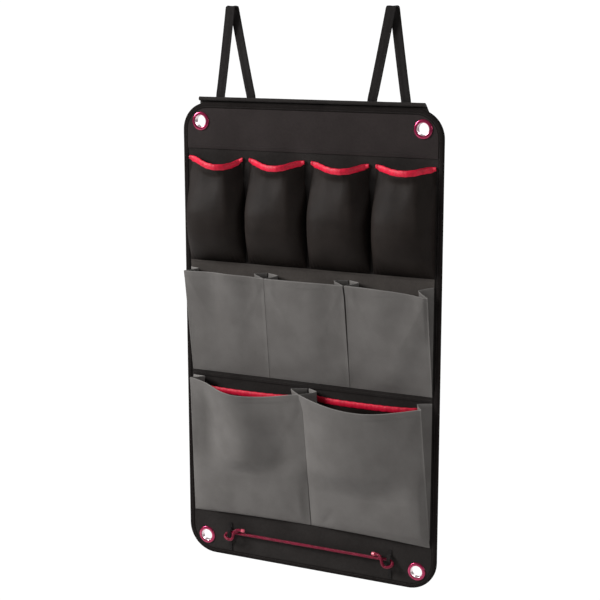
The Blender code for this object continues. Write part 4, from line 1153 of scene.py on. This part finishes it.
def folded_elastic(name, mouth, limit):
    """An arch of elastic about the mouth's line, which never reaches behind limit."""
    path = smooth_path(mouth, 0.0012)
    run = np.gradient(path, axis=0)
    outward = unit(np.stack([run[:, 1], -run[:, 0], np.zeros(len(run))], axis=1))
    along = np.concatenate([[0.0], np.cumsum(np.linalg.norm(np.diff(path, axis=0), axis=1))])
    puff = 1 + 0.05 * np.sin(math.tau * along / 0.0062) + 0.05 * np.sin(math.tau * along / 0.0145)
    sway = 0.00016 * np.sin(math.tau * along / 0.0135 + 1.0)
    from_end = np.minimum(along, along[-1] - along)
    tall = 0.64 + 0.36 * smooth_step(from_end / 0.008)
    rings = []
    for place, side, swell, shift, height in zip(path, outward, puff, sway, tall):
        ring = []
        for index, (across, up) in enumerate(ELASTIC_SECTION):
            wide = across * swell if index < SECTION_OUTSIDE else across
            rise = np.array([0.0, 0.0, up * height * MILLIMETRE + shift])
            point = place + side * wide * MILLIMETRE + rise
            point[1] = min(point[1], limit)
            ring.append(point)
        rings.append(ring)
    return loft(name, rings, red_elastic)


# %% Helper: sew a whole stretch pocket
def stretch_pocket(name, seam_ends, mouth_ends, sizes, seed, fullness):
    """A knit pocket with the elastic on its mouth."""
    grid = knit_surface(seam_ends, mouth_ends, sizes, fullness, seed)
    rings = sheet_rings(grid, KNIT_CLOTH, rear_limit=-SEAM_GAP)
    pocket = loft(name + "_knit", rings, black_knit)
    dress(pocket, "panel", "black_knit", name)
    elastic = folded_elastic(name + "_mouth_elastic", grid[-1], -SEAM_GAP)
    dress(elastic, "panel", "red_elastic", name + "_red_elastic")
    return pocket, elastic


# %% Sew the four upper pockets
# How far each mouth dips in its middle, and how far the dip lies beside the middle
MOUTH_DIPS = [(0.0095, 0.08), (0.0072, -0.05), (0.0066, 0.0), (0.0048, -0.06)]
SEAM_SPREAD = 0.0027
for index, (mouth_dip, mouth_shift) in enumerate(MOUTH_DIPS):
    name = "knit_pocket_%d" % (index + 1)
    band_low, band_high = panel_box(name + "_red_elastic")
    mouth_ends = (band_low.x + ELASTIC_OUTER, band_high.x - ELASTIC_OUTER)
    sizes = {"bottom": 0.475, "mouth": 0.634, "dip": mouth_dip, "belly": 0.0355,
             "mouth_depth": 0.0255, "lean": 1.0, "shift": mouth_shift}
    seam_left = mouth_ends[0] - (SEAM_SPREAD if index else 0.0)
    seam_right = mouth_ends[1] + (SEAM_SPREAD if index < len(MOUTH_DIPS) - 1 else 0.0)
    stretch_pocket(name, (seam_left, seam_right), mouth_ends, sizes, 1.7 * index + 0.4, 1.0)

# %% [markdown]
# ## The pockets inside the large pockets
#
# Behind each large front lies a shallow stretch pocket, of which little more than the red mouth is
# seen. The same helper sews it, with an even arc. When the left front closes it presses on the
# pocket behind it, so that pocket and its elastic are given meshes of their own.

# %% Sew the two inner pockets
INNER_POCKETS = {"left": {"mouth": 0.278, "hidden": 0.0, "seed": 9.0},
                 "right": {"mouth": 0.282, "hidden": 0.0095, "seed": 10.0}}
for side_name, inner in INNER_POCKETS.items():
    name = "inner_pocket_" + side_name
    band_low, band_high = panel_box(name + "_red_elastic")
    ends = (band_low.x + ELASTIC_OUTER - inner["hidden"], band_high.x - ELASTIC_OUTER)
    sizes = {"bottom": 0.1425, "mouth": inner["mouth"], "dip": 0.002, "belly": 0.0090,
             "mouth_depth": 0.0095, "lean": 0.0, "shift": 0.0}
    for piece in stretch_pocket(name, ends, ends, sizes, inner["seed"], 0.4):
        if side_name == "left":
            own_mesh(piece)

# %% [markdown]
# ## Seam tapes
#
# Two flat tapes hide the raw edges under the rows. The upper one is wide, with a row of stitches
# near each long edge, and its colour is clearly lighter than the panel: painted light that lifts it
# out of the shade of the pockets above. The middle one is narrow, in the panel's own black, with
# one row. Both are thin sheets laid along the seam. A strap would do as well, but a grid can be
# slightly uneven all over.

# %% Lay the two seam tapes
# Each tape's material, its number of rows of points and how high its rows of stitches lie
TAPES = {"upper_seam_tape": (seam_tape, 13, (0.0025, 0.0255)),
         "middle_seam_tape": (black_canvas, 7, (0.0038,))}
for name, (look, point_rows, stitch_rises) in TAPES.items():
    low, high = panel_box(name)
    x = np.linspace(low.x, high.x, 161)[None, :]
    z = np.linspace(low.z, high.z, point_rows)[:, None]
    grid = np.stack(np.broadcast_arrays(x, 0.0 * x, z), axis=-1).copy()
    grid[..., 1] = (low.y + high.y) / 2 - 0.00012 * (1 + crumple(grid, 0.02, 4.0))
    rings = sheet_rings(grid, high.y - low.y, rear_limit=-SEAM_GAP)
    tape = loft(name + "_cloth", rings, look)
    dress(tape, "panel", "black_tape", name)
    stitch_rows(name + "_stitches",
                [[(low.x + 0.001, low.y - 0.0002, low.z + rise),
                  (high.x - 0.001, low.y - 0.0002, low.z + rise)] for rise in stitch_rises],
                "panel")

# %% [markdown]
# ## Grey pocket fronts
#
# A grey front is a stiff woven piece that leans out from its bottom seam. Folded gussets at its
# sides hold the mouth open. The cloth falls in one slow wave across: it stands out in the middle
# and comes back beyond it. On the large pockets the lower third is pushed out evenly and the wave
# begins above a crease. The wave is a formula, because a simulation would settle into folds of its
# own. Each front swings on its own, so nothing here may depend on its neighbours.

# %% The measures of the grey fronts
GREY_CLOTH = 0.0009
FRONTS = {
    "middle": {"count": 3, "bottom": 0.300, "mouth": 0.4625, "drop": 0.004, "bow": 0.0,
               "width": 0.131, "columns": 73, "rows": 85, "seed": 0.0},
    "large": {"count": 2, "bottom": 0.069, "mouth": 0.2905, "drop": 0.0015, "bow": 0.005,
              "width": 0.196, "columns": 97, "rows": 111, "seed": 20.0},
}
# How deep each mouth sags, how far to the right its lowest point is and how round it is
SAGS = {"middle": [(-0.001, 1.0, 1.4), (-0.001, 1.0, 1.4), (-0.001, 1.0, 1.4)],
        "large": [(0.0135, 1.2, 1.3), (0.0110, 1.15, 1.2)]}
# The corners of a mouth: how far each stands off the panel, is drawn in and is lifted, and how
# deep the gusset beside it is creased
CORNERS = {"middle": {"left": (0.025, 0.001, 0.002, 0.0185), "between": (0.025, 0.0, 0.0, 0.0185),
                      "right": (0.025, 0.001, -0.0075, 0.0185)},
           "large": {"left": (0.025, 0.0087, 0.0035, 0.0225), "between": (0.033, 0.0, 0.0, 0.020),
                     "right": (0.033, 0.005, 0.0, 0.0145)}}
# How far each seam between two fronts lies off its even place: at its foot, high up, at its mouth
SEAM_SHIFTS = {"middle": [(0.0022, 0.0046, 0.0052), (0.0025, 0.0025, 0.0015)],
               "large": [(0.0052, 0.0048, 0.0)]}
# Half the gap between two fronts at its foot and at its mouth. Below zero their edges touch
SEAM_GAPS = {"middle": [(-0.0002, -0.0002), (-0.0001, 0.0008)], "large": [(0.0003, -0.0001)]}
OUTER_GAP = 0.0006
# The share of its height at which a seam's upper part begins
SEAM_BEND = 0.86
for row, size in FRONTS.items():
    print("%s row: %d fronts, %.0f mm high" % (row, size["count"],
                                               1000 * (size["mouth"] - size["bottom"])))


# %% Helper: where the sides of a front lie
def corner_pair(row, index):
    """The two mouth corners of a pocket, as (depth, drawn in, lifted, crease)."""
    corners = CORNERS[row]
    last = index == FRONTS[row]["count"] - 1
    return corners["between" if index else "left"], corners["right" if last else "between"]


def seam_shift(row, seam, up):
    """How far a seam is shifted sideways at a share of its height. Seam 0 is the left side."""
    if not 0 < seam < FRONTS[row]["count"]:
        return 0.0 * up
    foot, high, mouth = SEAM_SHIFTS[row][seam - 1]
    return (foot + (high - foot) * np.minimum(up / SEAM_BEND, 1.0)
            + (mouth - high) * smooth_step((up - SEAM_BEND) / (1 - SEAM_BEND)))


def half_gap(row, seam, up):
    """Half the gap at a seam. At the panel's own sides it is the same all the way up."""
    if not 0 < seam < FRONTS[row]["count"]:
        return OUTER_GAP + 0.0 * up
    foot, mouth = SEAM_GAPS[row][seam - 1]
    return foot + (mouth - foot) * smooth_step(up / 0.8)


def foot_line(row, x):
    """The height of a row's bottom seam. A long seam bows up a little in its middle."""
    return FRONTS[row]["bottom"] + FRONTS[row]["bow"] * (1 - (x / FIELD_HALF) ** 2)


# %% Helper: the slow wave of a grey front
def fold_step(index, across):
    """The share of its height at which the crease of a large front lies."""
    return (0.335 + 0.045 * across) if index == 0 else (0.270 + 0.060 * across)


def front_wave(row, index, across, up):
    """How far a front stands out beyond the flat between its corners. Below the crease of a large
    front the cloth is pushed out evenly. Above it the cloth falls in one wave."""
    arch = np.maximum(np.sin(math.pi * across), 0.0)
    if row == "middle":
        ripple = np.sin(math.tau * across) - np.sin(3 * math.pi * across)
        return (0.004 * arch + 0.001 * ripple) * up
    crease = fold_step(index, across)
    low = np.minimum(up / crease, 1.0)
    pushed_out = (0.0115 + 0.0025 * index) * (1 - (2 * across - 1) ** 4) * low ** 0.35
    pushed_out = pushed_out * (1 - (0.25 + 0.2 * index) * low)
    if index == 0:
        crest = 0.49 - 0.10 * smooth_step((up - 0.72) / 0.28)
        falling = 0.0165 * bump_at(across, crest, 0.20) + 0.0045 * arch
    else:
        falling = 0.0240 * np.maximum(np.sin(math.pi * across ** 0.78), 0.0)
    above = smooth_step((up - crease) / (0.14 + 0.08 * index))
    return pushed_out * (1 - above) + falling * above


print("the large fronts are creased at %.2f and %.2f of their height"
      % (fold_step(0, 0.5), fold_step(1, 0.5)))


# %% Helper: the surface of a grey front
def front_surface(row, index, columns, up):
    """Points on the middle of a grey front, from its seam to its mouth."""
    size = FRONTS[row]
    pitch = 2 * FIELD_HALF / size["count"]
    left = -FIELD_HALF + index * pitch + half_gap(row, index, up) + GREY_CLOTH / 2
    right = -FIELD_HALF + (index + 1) * pitch - half_gap(row, index + 1, up) - GREY_CLOTH / 2
    (first, first_in, first_lift, _), (last, last_in, last_lift, _) = corner_pair(row, index)
    across = np.linspace(0.0, 1.0, columns)[None, :]
    x_left = left + first_in * up + seam_shift(row, index, up)
    x_right = right - last_in * up + seam_shift(row, index + 1, up)
    depth = (first + (last - first) * across) * up + front_wave(row, index, across, up)
    lift = first_lift + (last_lift - first_lift) * across ** 2
    sag, lowest, roundness = SAGS[row][index]
    sagged = sag * np.maximum(np.sin(math.pi * across ** lowest), 0.0) ** roundness
    high = size["mouth"] - size["drop"] + lift - sagged
    x = x_left + (x_right - x_left) * across
    foot = foot_line(row, x)
    z = foot + (high - foot) * up
    grid = np.stack(np.broadcast_arrays(x, -(SEAM_GAP + GREY_CLOTH / 2) - depth, z), axis=-1)
    return grid.copy(), across


# %% [markdown]
# ### Wrinkles
#
# What makes the cloth read as cloth is the small irregular relief on top of the big wave. Three
# kinds are mixed: broad soft swells of a few millimetres, short slanted pulls that start at the
# corners where the cloth is stitched, and a crease line across the large fronts where the cloth
# was folded in its bag. All fade to nothing at the seams. A sculpted mesh could hold them too, but
# a list of swells can be read, moved and measured.

# %% Helper: swells, pulls and creases
# Swells and hollows of each front: middle across, middle up, half width, half height, height in
# millimetres and how far the swell runs sideways as it rises
SWELLS = {
    "middle_pocket_1": [(0.36, 1.0, 0.17, 0.50, -5.2, 0.0), (0.80, 0.6, 0.12, 0.30, -1.0, 0.0)],
    "middle_pocket_2": [(0.66, 0.8, 0.14, 0.50, 1.5, 0.1)],
    "middle_pocket_3": [(0.78, 0.55, 0.17, 0.60, 3.4, 0.55)],
    "large_pocket_1": [(0.16, 0.62, 0.09, 0.28, -4.4, 0.0), (0.80, 0.58, 0.10, 0.22, -2.2, 0.0),
                       (0.93, 0.14, 0.03, 0.14, 1.2, 0.0)],
    "large_pocket_2": [(0.16, 0.08, 0.04, 0.06, -1.2, 0.6), (0.92, 0.36, 0.15, 0.16, 5.0, 0.0),
                       (1.0, 0.15, 0.40, 0.16, 5.5, 0.0)],
}


def front_relief(row, index, grid, up, across):
    """How far the cloth stands out beyond its big wave, in metres."""
    inside = smooth_step(up / 0.08) * smooth_step(across / 0.05) * smooth_step((1 - across) / 0.05)
    seed = 3.1 * index + FRONTS[row]["seed"]
    stretched = grid * np.array([1.0, 0.3, 0.55])
    relief = 0.0009 * crumple(stretched, 0.045, seed) + 0.00022 * crumple(stretched, 0.016, seed)
    for corner in (0.0, 1.0):
        far = np.abs(across - corner)
        line = (1 - up) - 1.6 * far
        pull = bump_at(line, 0.0, 0.06) * np.exp(-far / 0.25) * (up > 0.4)
        tuck = bump_at(far, 0.10, 0.04) * bump_at(up, 0.95, 0.12)
        relief = relief + 0.0006 * pull + 0.0006 * tuck
    for middle, rise, wide, tall, high, slant in SWELLS["%s_pocket_%d" % (row, index + 1)]:
        along = middle + slant * (up - rise)
        swell = bump_at(across, along, wide) * bump_at(up, rise, tall)
        relief = relief + MILLIMETRE * high * swell
    if row == "large":
        relief = relief + 0.0003 * bump_at(up, fold_step(index, across) - 0.012, 0.028)
    return relief * inside


# %% [markdown]
# ## Hems and stitches
#
# The mouth has a turned hem, so the cloth is double there, and it is double at the foot and the
# sides too. The sheet helper makes this from one thickness for each point. A front could ride on
# its swinging body as a whole, but then its foot would cut into the panel when it closes, so here
# it rides on no body.

# %% Sew the fronts
HEM = 0.0095
HEM_STITCHES = 0.0085
# Rows of points close under the mouth, so that its edge stays crisp
RIM_ROWS = np.array([0.0021, 0.0014, 0.0009, 0.0004, 0.0])
for row, size in FRONTS.items():
    for index in range(size["count"]):
        name = "%s_pocket_%d" % (row, index + 1)
        height = size["mouth"] - size["drop"] - size["bottom"]
        up = np.concatenate([np.linspace(0.0, 1 - 0.003 / height, size["rows"]),
                             1 - RIM_ROWS / height])[:, None]
        grid, across = front_surface(row, index, size["columns"], up)
        grid[..., 1] -= front_relief(row, index, grid, up, across)
        grid[..., 1] = np.minimum(grid[..., 1], -(SEAM_GAP + GREY_CLOTH / 2))
        below_mouth = (1 - up) * height
        hem = 1 - smooth_step((below_mouth - HEM) / 0.0012)
        foot = 1 - smooth_step((up * height - 0.005) / 0.0012)
        from_side = np.minimum(across, 1 - across) * size["width"]
        side = 1 - smooth_step((from_side - 0.0014) / 0.0008)
        layers = GREY_CLOTH + 0.0005 * hem + 0.0004 * foot + 0.0005 * side
        front = loft(name + "_cloth", sheet_rings(grid, layers, rear_limit=-SEAM_GAP), grey_cloth)
        # The mouth's edge and the outer side edges are painted paler: a painted highlight where
        # these rims catch the light
        outer = (across < 0.5) * (index == 0) + (across > 0.5) * (index == size["count"] - 1)
        outer_rim_light = 0.5 * outer * (1 - smooth_step(from_side / 0.0016)) * smooth_step(up / 0.3)
        paint_rim_light_edges(front, np.maximum(1 - smooth_step(below_mouth / 0.0013), outer_rim_light))
        dress(front, None, "grey_polyester", name + "_front")
        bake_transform(front)
        face = grid + surface_normals(grid) * (GREY_CLOTH + 0.0003) / 2
        hem_row = int(np.argmin(np.abs(below_mouth - HEM_STITCHES)))
        for part, body, at_row in (("hem", name, hem_row), ("foot", "panel", 2)):
            stitch_rows("%s_%s_stitches" % (name, part), [face[at_row, 2:-2]], body,
                        "grey_polyester", look=grey_cloth, radius=0.0002)

# %% [markdown]
# ## Gussets
#
# Between each side of a front and the panel there is a strip of the same cloth, folded inwards once
# like the side of a paper bag. Its rear edge is sewn to the panel and its front edge to the pocket
# front, so it has to open and close as the front swings. The gusset narrows to nothing at its foot.
# It is cut into short bands, and then the bands are sewn back into one.

# %% Helper: the folded section of a gusset
GUSSET_CLOTH = 0.0008
GUSSET_PEAK = 0.002
BANDS = 9
BAND_STEPS = 4
FOLD_POINTS = 9
# A gusset of the middle row ends on the upper tape, which lifts it by this much
TAPE_STEP = 0.0011
TAPE_FOOT_Z = panel_box("upper_seam_tape")[0].z


def gusset_line(row, seam, side, corner, up, shift_of):
    """The section of a gusset at a share of its height: back seam, soft crease, front seam."""
    size = FRONTS[row]
    depth, drawn_in, lift, crease_depth = corner
    top = size["mouth"] - size["drop"] + lift
    seam_z = size["bottom"] + (size["mouth"] - size["bottom"]) * up
    over_tape = TAPE_STEP * float(smooth_step((seam_z - TAPE_FOOT_Z + 0.004) / 0.004))
    back_y = -(SEAM_GAP + GUSSET_CLOTH / 2 + (over_tape if row == "middle" else 0.0))
    front_y = min(0.0006 - depth * up, back_y - 0.0012)
    share = np.linspace(0.0, 1.0, FOLD_POINTS)
    crease = crease_depth * up * (1 - np.abs(2 * share - 1) ** 1.25)
    shift = shift_of(up) * share + shift_of(0.0) * (1 - share) * (1 - up)
    x = seam + shift + side * (0.0012 + drawn_in * up * share + crease)
    y = back_y + (front_y - back_y) * share
    z = size["bottom"] + (top - size["bottom"]) * up + (size["mouth"] - top) * up * (1 - share)
    z = z + GUSSET_PEAK * up * (1 - np.abs(2 * share - 1))
    return np.stack([x, y, z], axis=1)


def gusset_ring(line):
    """A closed ring about a folded line, never behind the seam."""
    run = unit(np.gradient(line, axis=0) * np.array([1.0, 1.0, 0.0]))
    normal = np.stack([run[:, 1], -run[:, 0], np.zeros(len(run))], axis=1) * GUSSET_CLOTH / 2
    ring = np.concatenate([line + normal, (line - normal)[::-1]])
    ring[:, 1] = np.minimum(ring[:, 1], -SEAM_GAP)
    return ring


# %% [markdown]
# ### Bands joined into one
#
# Each band is a short loft of its own, from its back seam to its front seam. When all are made they
# are joined into one mesh, and points that lie on each other are merged.

# %% Helper: sew a gusset from bands
MERGE_DISTANCE = 0.000001


def join_bands(bands, name):
    """One piece from several, with the points merged where two bands meet."""
    for item in bpy.context.selected_objects:
        item.select_set(False)
    for piece in bands:
        piece.select_set(True)
    bpy.context.view_layer.objects.active = bands[0]
    bpy.ops.object.join()
    whole = bands[0]
    whole.name = name
    joined = bmesh.new()
    joined.from_mesh(whole.data)
    bmesh.ops.remove_doubles(joined, verts=joined.verts, dist=MERGE_DISTANCE)
    joined.to_mesh(whole.data)
    joined.free()
    return whole


def sew_gusset(name, row, seam, side, corner, shift_of):
    """Bands from the foot of the gusset to its mouth, joined into one."""
    near_mouth = 1 - np.array([0.0012, 0.0]) / (FRONTS[row]["mouth"] - FRONTS[row]["bottom"])
    levels = np.concatenate([np.linspace(0.05, 1.0, BANDS * BAND_STEPS)[:-1], near_mouth])
    lines = [gusset_line(row, seam, side, corner, up, shift_of) for up in levels]
    bands = []
    for band in range(BANDS):
        part = slice(band * BAND_STEPS, band * BAND_STEPS + BAND_STEPS + 1)
        piece = loft("%s_band_%d" % (name, band), [gusset_ring(line) for line in lines[part]],
                     grey_cloth, capped=(band == 0, band == BANDS - 1))
        # The top edge is painted paler: a painted highlight on the rim that catches the light
        painted_rim = np.array([[1 - smooth_step((1 - up) / 0.012)] * FOLD_POINTS for up in levels[part]])
        paint_rim_light_edges(piece, painted_rim)
        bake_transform(piece)
        bands.append(piece)
    return join_bands(bands, name), lines


# %% Sew the ten gussets
for row, size in FRONTS.items():
    pitch = 2 * FIELD_HALF / size["count"]
    for index in range(size["count"]):
        name = "%s_pocket_%d" % (row, index + 1)
        left = -FIELD_HALF + index * pitch
        corners = corner_pair(row, index)
        for edge, side_name, side in ((0, "left", 1), (1, "right", -1)):
            gusset, lines = sew_gusset("%s_%s_fold" % (name, side_name), row,
                                       left + edge * pitch, side, corners[edge],
                                       lambda up: seam_shift(row, index + edge, up))
            dress(gusset, None, "grey_polyester", "%s_%s_gusset" % (name, side_name))
            height = size["mouth"] - size["bottom"]

# %% [markdown]
# ## The cord across the foot
#
# A round elastic cord runs across the foot and turns once round a webbing tab at each end. It is
# held all along, so it is not a free cord that hangs under its own weight. Its route is a list of
# points given for each turn with a straight run between them, smoothed into one curve. A tube with
# sixteen sides follows it. The braid on it is in the look.

# %% Route the cord
CORD_Z = 0.0405
CORD_DIAMETER = 0.0044
TAB_X = 0.136
STRAIGHT_OFF = 0.0052 / CORD_DIAMETER
BEHIND_TAB = 0.0030 / CORD_DIAMETER
# The turn at one end, in cord diameters from the middle of the tab: outwards, off the panel, up
TURN = [(-3.41, STRAIGHT_OFF, 0.0), (-1.82, STRAIGHT_OFF - 0.23, 0.0), (0.0, BEHIND_TAB, -0.23),
        (1.32, 1.09, -0.91), (1.32, 1.93, -1.59), (0.18, 2.39, -2.16), (-1.09, 2.23, -2.27),
        (-1.93, 2.32, -1.36), (-2.27, 2.45, 0.0), (-2.84, 2.23, 1.18), (-3.86, 1.77, 1.55),
        (-4.89, 1.55, 1.50)]
right_turn = np.array([(TAB_X + out * CORD_DIAMETER, -off * CORD_DIAMETER,
                        CORD_Z + up * CORD_DIAMETER) for out, off, up in TURN])
left_turn = right_turn * np.array([-1.0, 1.0, 1.0])
straight = np.linspace(left_turn[0], right_turn[0], 12)[1:-1]
cord_route = smooth_path(np.concatenate([left_turn[::-1], straight, right_turn]), 0.0010)
cord_length = np.linalg.norm(np.diff(cord_route, axis=0), axis=1).sum()
print("the cord is %.0f mm long along its route" % (1000 * cord_length))


# %% Lay the cord and its caps
# Each ring of a cap: how far it lies beyond the cord's end and its radius
CAP_RINGS = np.array([(0.0003, 0.0021), (0.0006, 0.0026), (0.0012, 0.0027), (0.0030, 0.0027),
                      (0.0046, 0.0026), (0.0058, 0.0021), (0.0064, 0.0012), (0.0065, 0.0002)])


def tube_rings(path, radii, around=16):
    """Rings about a path that don't twist, with one radius for each point."""
    run = unit(np.gradient(path, axis=0))
    side = unit(np.cross(run[0], [0.0, 0.0, 1.0]))
    rings = []
    for place, ahead, radius in zip(path, run, radii):
        side = unit(side - ahead * (side @ ahead))
        up = np.cross(side, ahead)
        rings.append([place + radius * (side * math.cos(math.tau * step / around)
                                        + up * math.sin(math.tau * step / around))
                      for step in range(around)])
    return np.array(rings)


cord_widths = np.full(len(cord_route), CORD_DIAMETER / 2)
cord_piece = loft("elastic_cord_braid", tube_rings(cord_route, cord_widths), red_cord)
dress(cord_piece, "panel", "red_cord", "elastic_cord")
for side_name, end, before in (("left", cord_route[0], cord_route[1]),
                               ("right", cord_route[-1], cord_route[-2])):
    ahead = (end - before) / np.linalg.norm(end - before)
    path = end + ahead * CAP_RINGS[:, :1]
    cap = loft("cord_cap_%s_tip" % side_name, tube_rings(path, CAP_RINGS[:, 1], 20), cap_plastic)
    dress(cap, "panel", "cord_cap", "cord_cap_" + side_name)

# %% [markdown]
# ## The tabs
#
# Each tab is a narrow strap sewn flat above and below and arched over the cord. The strap helper
# makes it from eight points, smoothed. Two short rows of stitches hold it at each end.

# %% Sew the tabs
TAB_THICKNESS = 0.0010
TAB_STITCH_REACH = 0.0022
for side_name in ("left", "right"):
    low, high = panel_box("cord_tab_" + side_name)
    middle = (low.x + high.x) / 2
    seat = -(SEAM_GAP + TAB_THICKNESS / 2)
    arch = low.y + TAB_THICKNESS / 2
    stations = [(high.z, seat), (high.z - 0.003, seat), (high.z - 0.006, seat),
                (CORD_Z + 0.004, arch), (CORD_Z - 0.004, arch), (low.z + 0.006, seat),
                (low.z + 0.003, seat), (low.z, seat)]
    path = smooth_path([(middle, y, z) for z, y in stations], 0.0012)
    path[:, 1] = np.minimum(path[:, 1], seat)
    tab = strap("cord_tab_%s_webbing" % side_name, path[::-1], high.x - low.x, TAB_THICKNESS,
                (1.0, 0.0, 0.0), black_webbing)
    dress(tab, "panel", "black_webbing", "cord_tab_" + side_name)
    tab_lines = [[(x, seat - TAB_THICKNESS / 2, z)
                  for x in (middle - TAB_STITCH_REACH, middle + TAB_STITCH_REACH)]
                 for z in (high.z - 0.0015, high.z - 0.0042, low.z + 0.0015, low.z + 0.0042)]
    stitch_rows("cord_tab_%s_stitches" % side_name, tab_lines, "panel", "black_webbing",
                pitch=0.0016, radius=0.0002)

# %% [markdown]
# ## The rear of the panel
#
# Seen from behind, the panel shows where everything on its front was sewn through: a row of
# stitches at each seam and hem, and a row up each seam between two pockets. A bump in the material
# could draw them, but real threads catch the light at the panel's edge. They are measured from the
# panel's foot like everything else.

# %% Stitch lines on the rear cover
rear_y = rear_high.y + 0.0003
LEVEL_SEAMS = (0.0715, 0.1495, 0.2953, 0.3025, 0.4486, 0.4716, 0.4775, 0.6512)
# The upright seams of each row: their places across, where they begin and where they end
UPRIGHT_SEAMS = [((-0.0974, 0.0005, 0.0984), 0.4790, 0.6330), ((-0.0668, 0.0668), 0.3040, 0.4560),
                 ((0.0,), 0.0730, 0.2880)]
rear_lines = [[(-FIELD_HALF, rear_y, z), (FIELD_HALF, rear_y, z)] for z in LEVEL_SEAMS]
rear_lines += [[(x, rear_y, start), (x, rear_y, end)]
               for places, start, end in UPRIGHT_SEAMS for x in places]
stitch_rows("rear_seam_stitches", rear_lines, "panel", "black_canvas", facing=(0.0, 1.0, 0.0))

# %% [markdown]
# ## Light and floor
#
# The picture was lit for a shop page: white all round, with the main light from the left and in
# front, so that the left flanks of the pockets are bright and the right ones fall into shade. A
# weak lamp on the right keeps that shade open, and one behind the panel shows its rear in other
# views. A large floor well below the panel catches the light and gives the white ground.

# %% Helper: white to the camera, softer as a light
def white_ground(tree, output, soft_shader):
    """The camera sees plain white, and the light that falls on the cloth is the softer shader's."""
    seen = add_node(tree, "LightPath").outputs["Is Camera Ray"]
    white = add_node(tree, "Emission", {"Color": (1.0, 1.0, 1.0, 1.0), "Strength": 1.05})
    choice = add_node(tree, "MixShader", {0: seen, 1: soft_shader, 2: white.outputs[0]})
    tree.links.new(choice.outputs[0], output.inputs["Surface"])


# %% Set up the floor and the room
FLOOR_REACH = 30.0
FLOOR_DROP = 0.45
ROOM_LIGHT = 0.16
floor_mesh = bpy.data.meshes.new("floor")
floor_mesh.from_pydata([(x * FLOOR_REACH, y * FLOOR_REACH, ORIGIN.z - FLOOR_DROP)
                        for x, y in ((-1, -1), (1, -1), (1, 1), (-1, 1))], [], [(0, 1, 2, 3)])
floor = bpy.data.objects.new("floor", floor_mesh)
bpy.context.scene.collection.objects.link(floor)
pale, pale_tree, pale_shader = start_look("pale_floor", 0.9)
pale_shader.inputs["Base Color"].default_value = (0.80, 0.80, 0.80, 1.0)
white_ground(pale_tree, pale_tree.nodes["Material Output"], pale_shader.outputs[0])
floor_mesh.materials.append(pale)
floor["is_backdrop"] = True

world = bpy.data.worlds.new("studio")
world.use_nodes = True
room = world.node_tree.nodes["Background"]
room.inputs["Color"].default_value = (1.0, 1.0, 1.0, 1.0)
room.inputs["Strength"].default_value = ROOM_LIGHT
white_ground(world.node_tree, world.node_tree.nodes["World Output"], room.outputs[0])
bpy.context.scene.world = world
bpy.context.scene.view_settings.view_transform = "Standard"
print("the room lights the cloth at %.2f of white" % ROOM_LIGHT)


# %% Place the lamps
LAMP_DISTANCE = 3.2
# Each lamp's turn and rise in degrees, its size in metres and its power in watts
LAMPS = {"key": (-60, 27, 1.1, 140.0), "right": (72, 15, 1.4, 22.0), "rear": (155, 35, 1.6, 60.0)}


def soft_light(name, turn, rise, size, power):
    """A square lamp, turned from straight in front: left is minus, right is plus."""
    turn, rise = math.radians(turn), math.radians(rise)
    outwards = Vector((math.sin(turn) * math.cos(rise), -math.cos(turn) * math.cos(rise),
                       math.sin(rise)))
    lamp = bpy.data.objects.new(name, bpy.data.lights.new(name, "AREA"))
    lamp.data.shape = "SQUARE"
    lamp.data.size = size
    lamp.data.energy = power
    lamp.location = VIEW_TARGET + LAMP_DISTANCE * outwards
    lamp.rotation_mode = "QUATERNION"
    lamp.rotation_quaternion = (VIEW_TARGET - lamp.location).to_track_quat("-Z", "Y")
    bpy.context.scene.collection.objects.link(lamp)
    print("light %s: %.0f W" % (name, power))


for lamp_name, settings in LAMPS.items():
    soft_light(lamp_name, *settings)

# %% [markdown]
# ## Measure and finish
#
# The dressed model has to stay the size of the engineering model, so the last lines measure the box
# of everything shown and print its spans.

# %% Measure the sizes and finish
seen_low, seen_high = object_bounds()
spans = [round(1000 * (high - low), 1) for low, high in zip(seen_low, seen_high)]
print("visual box is", spans, "mm")
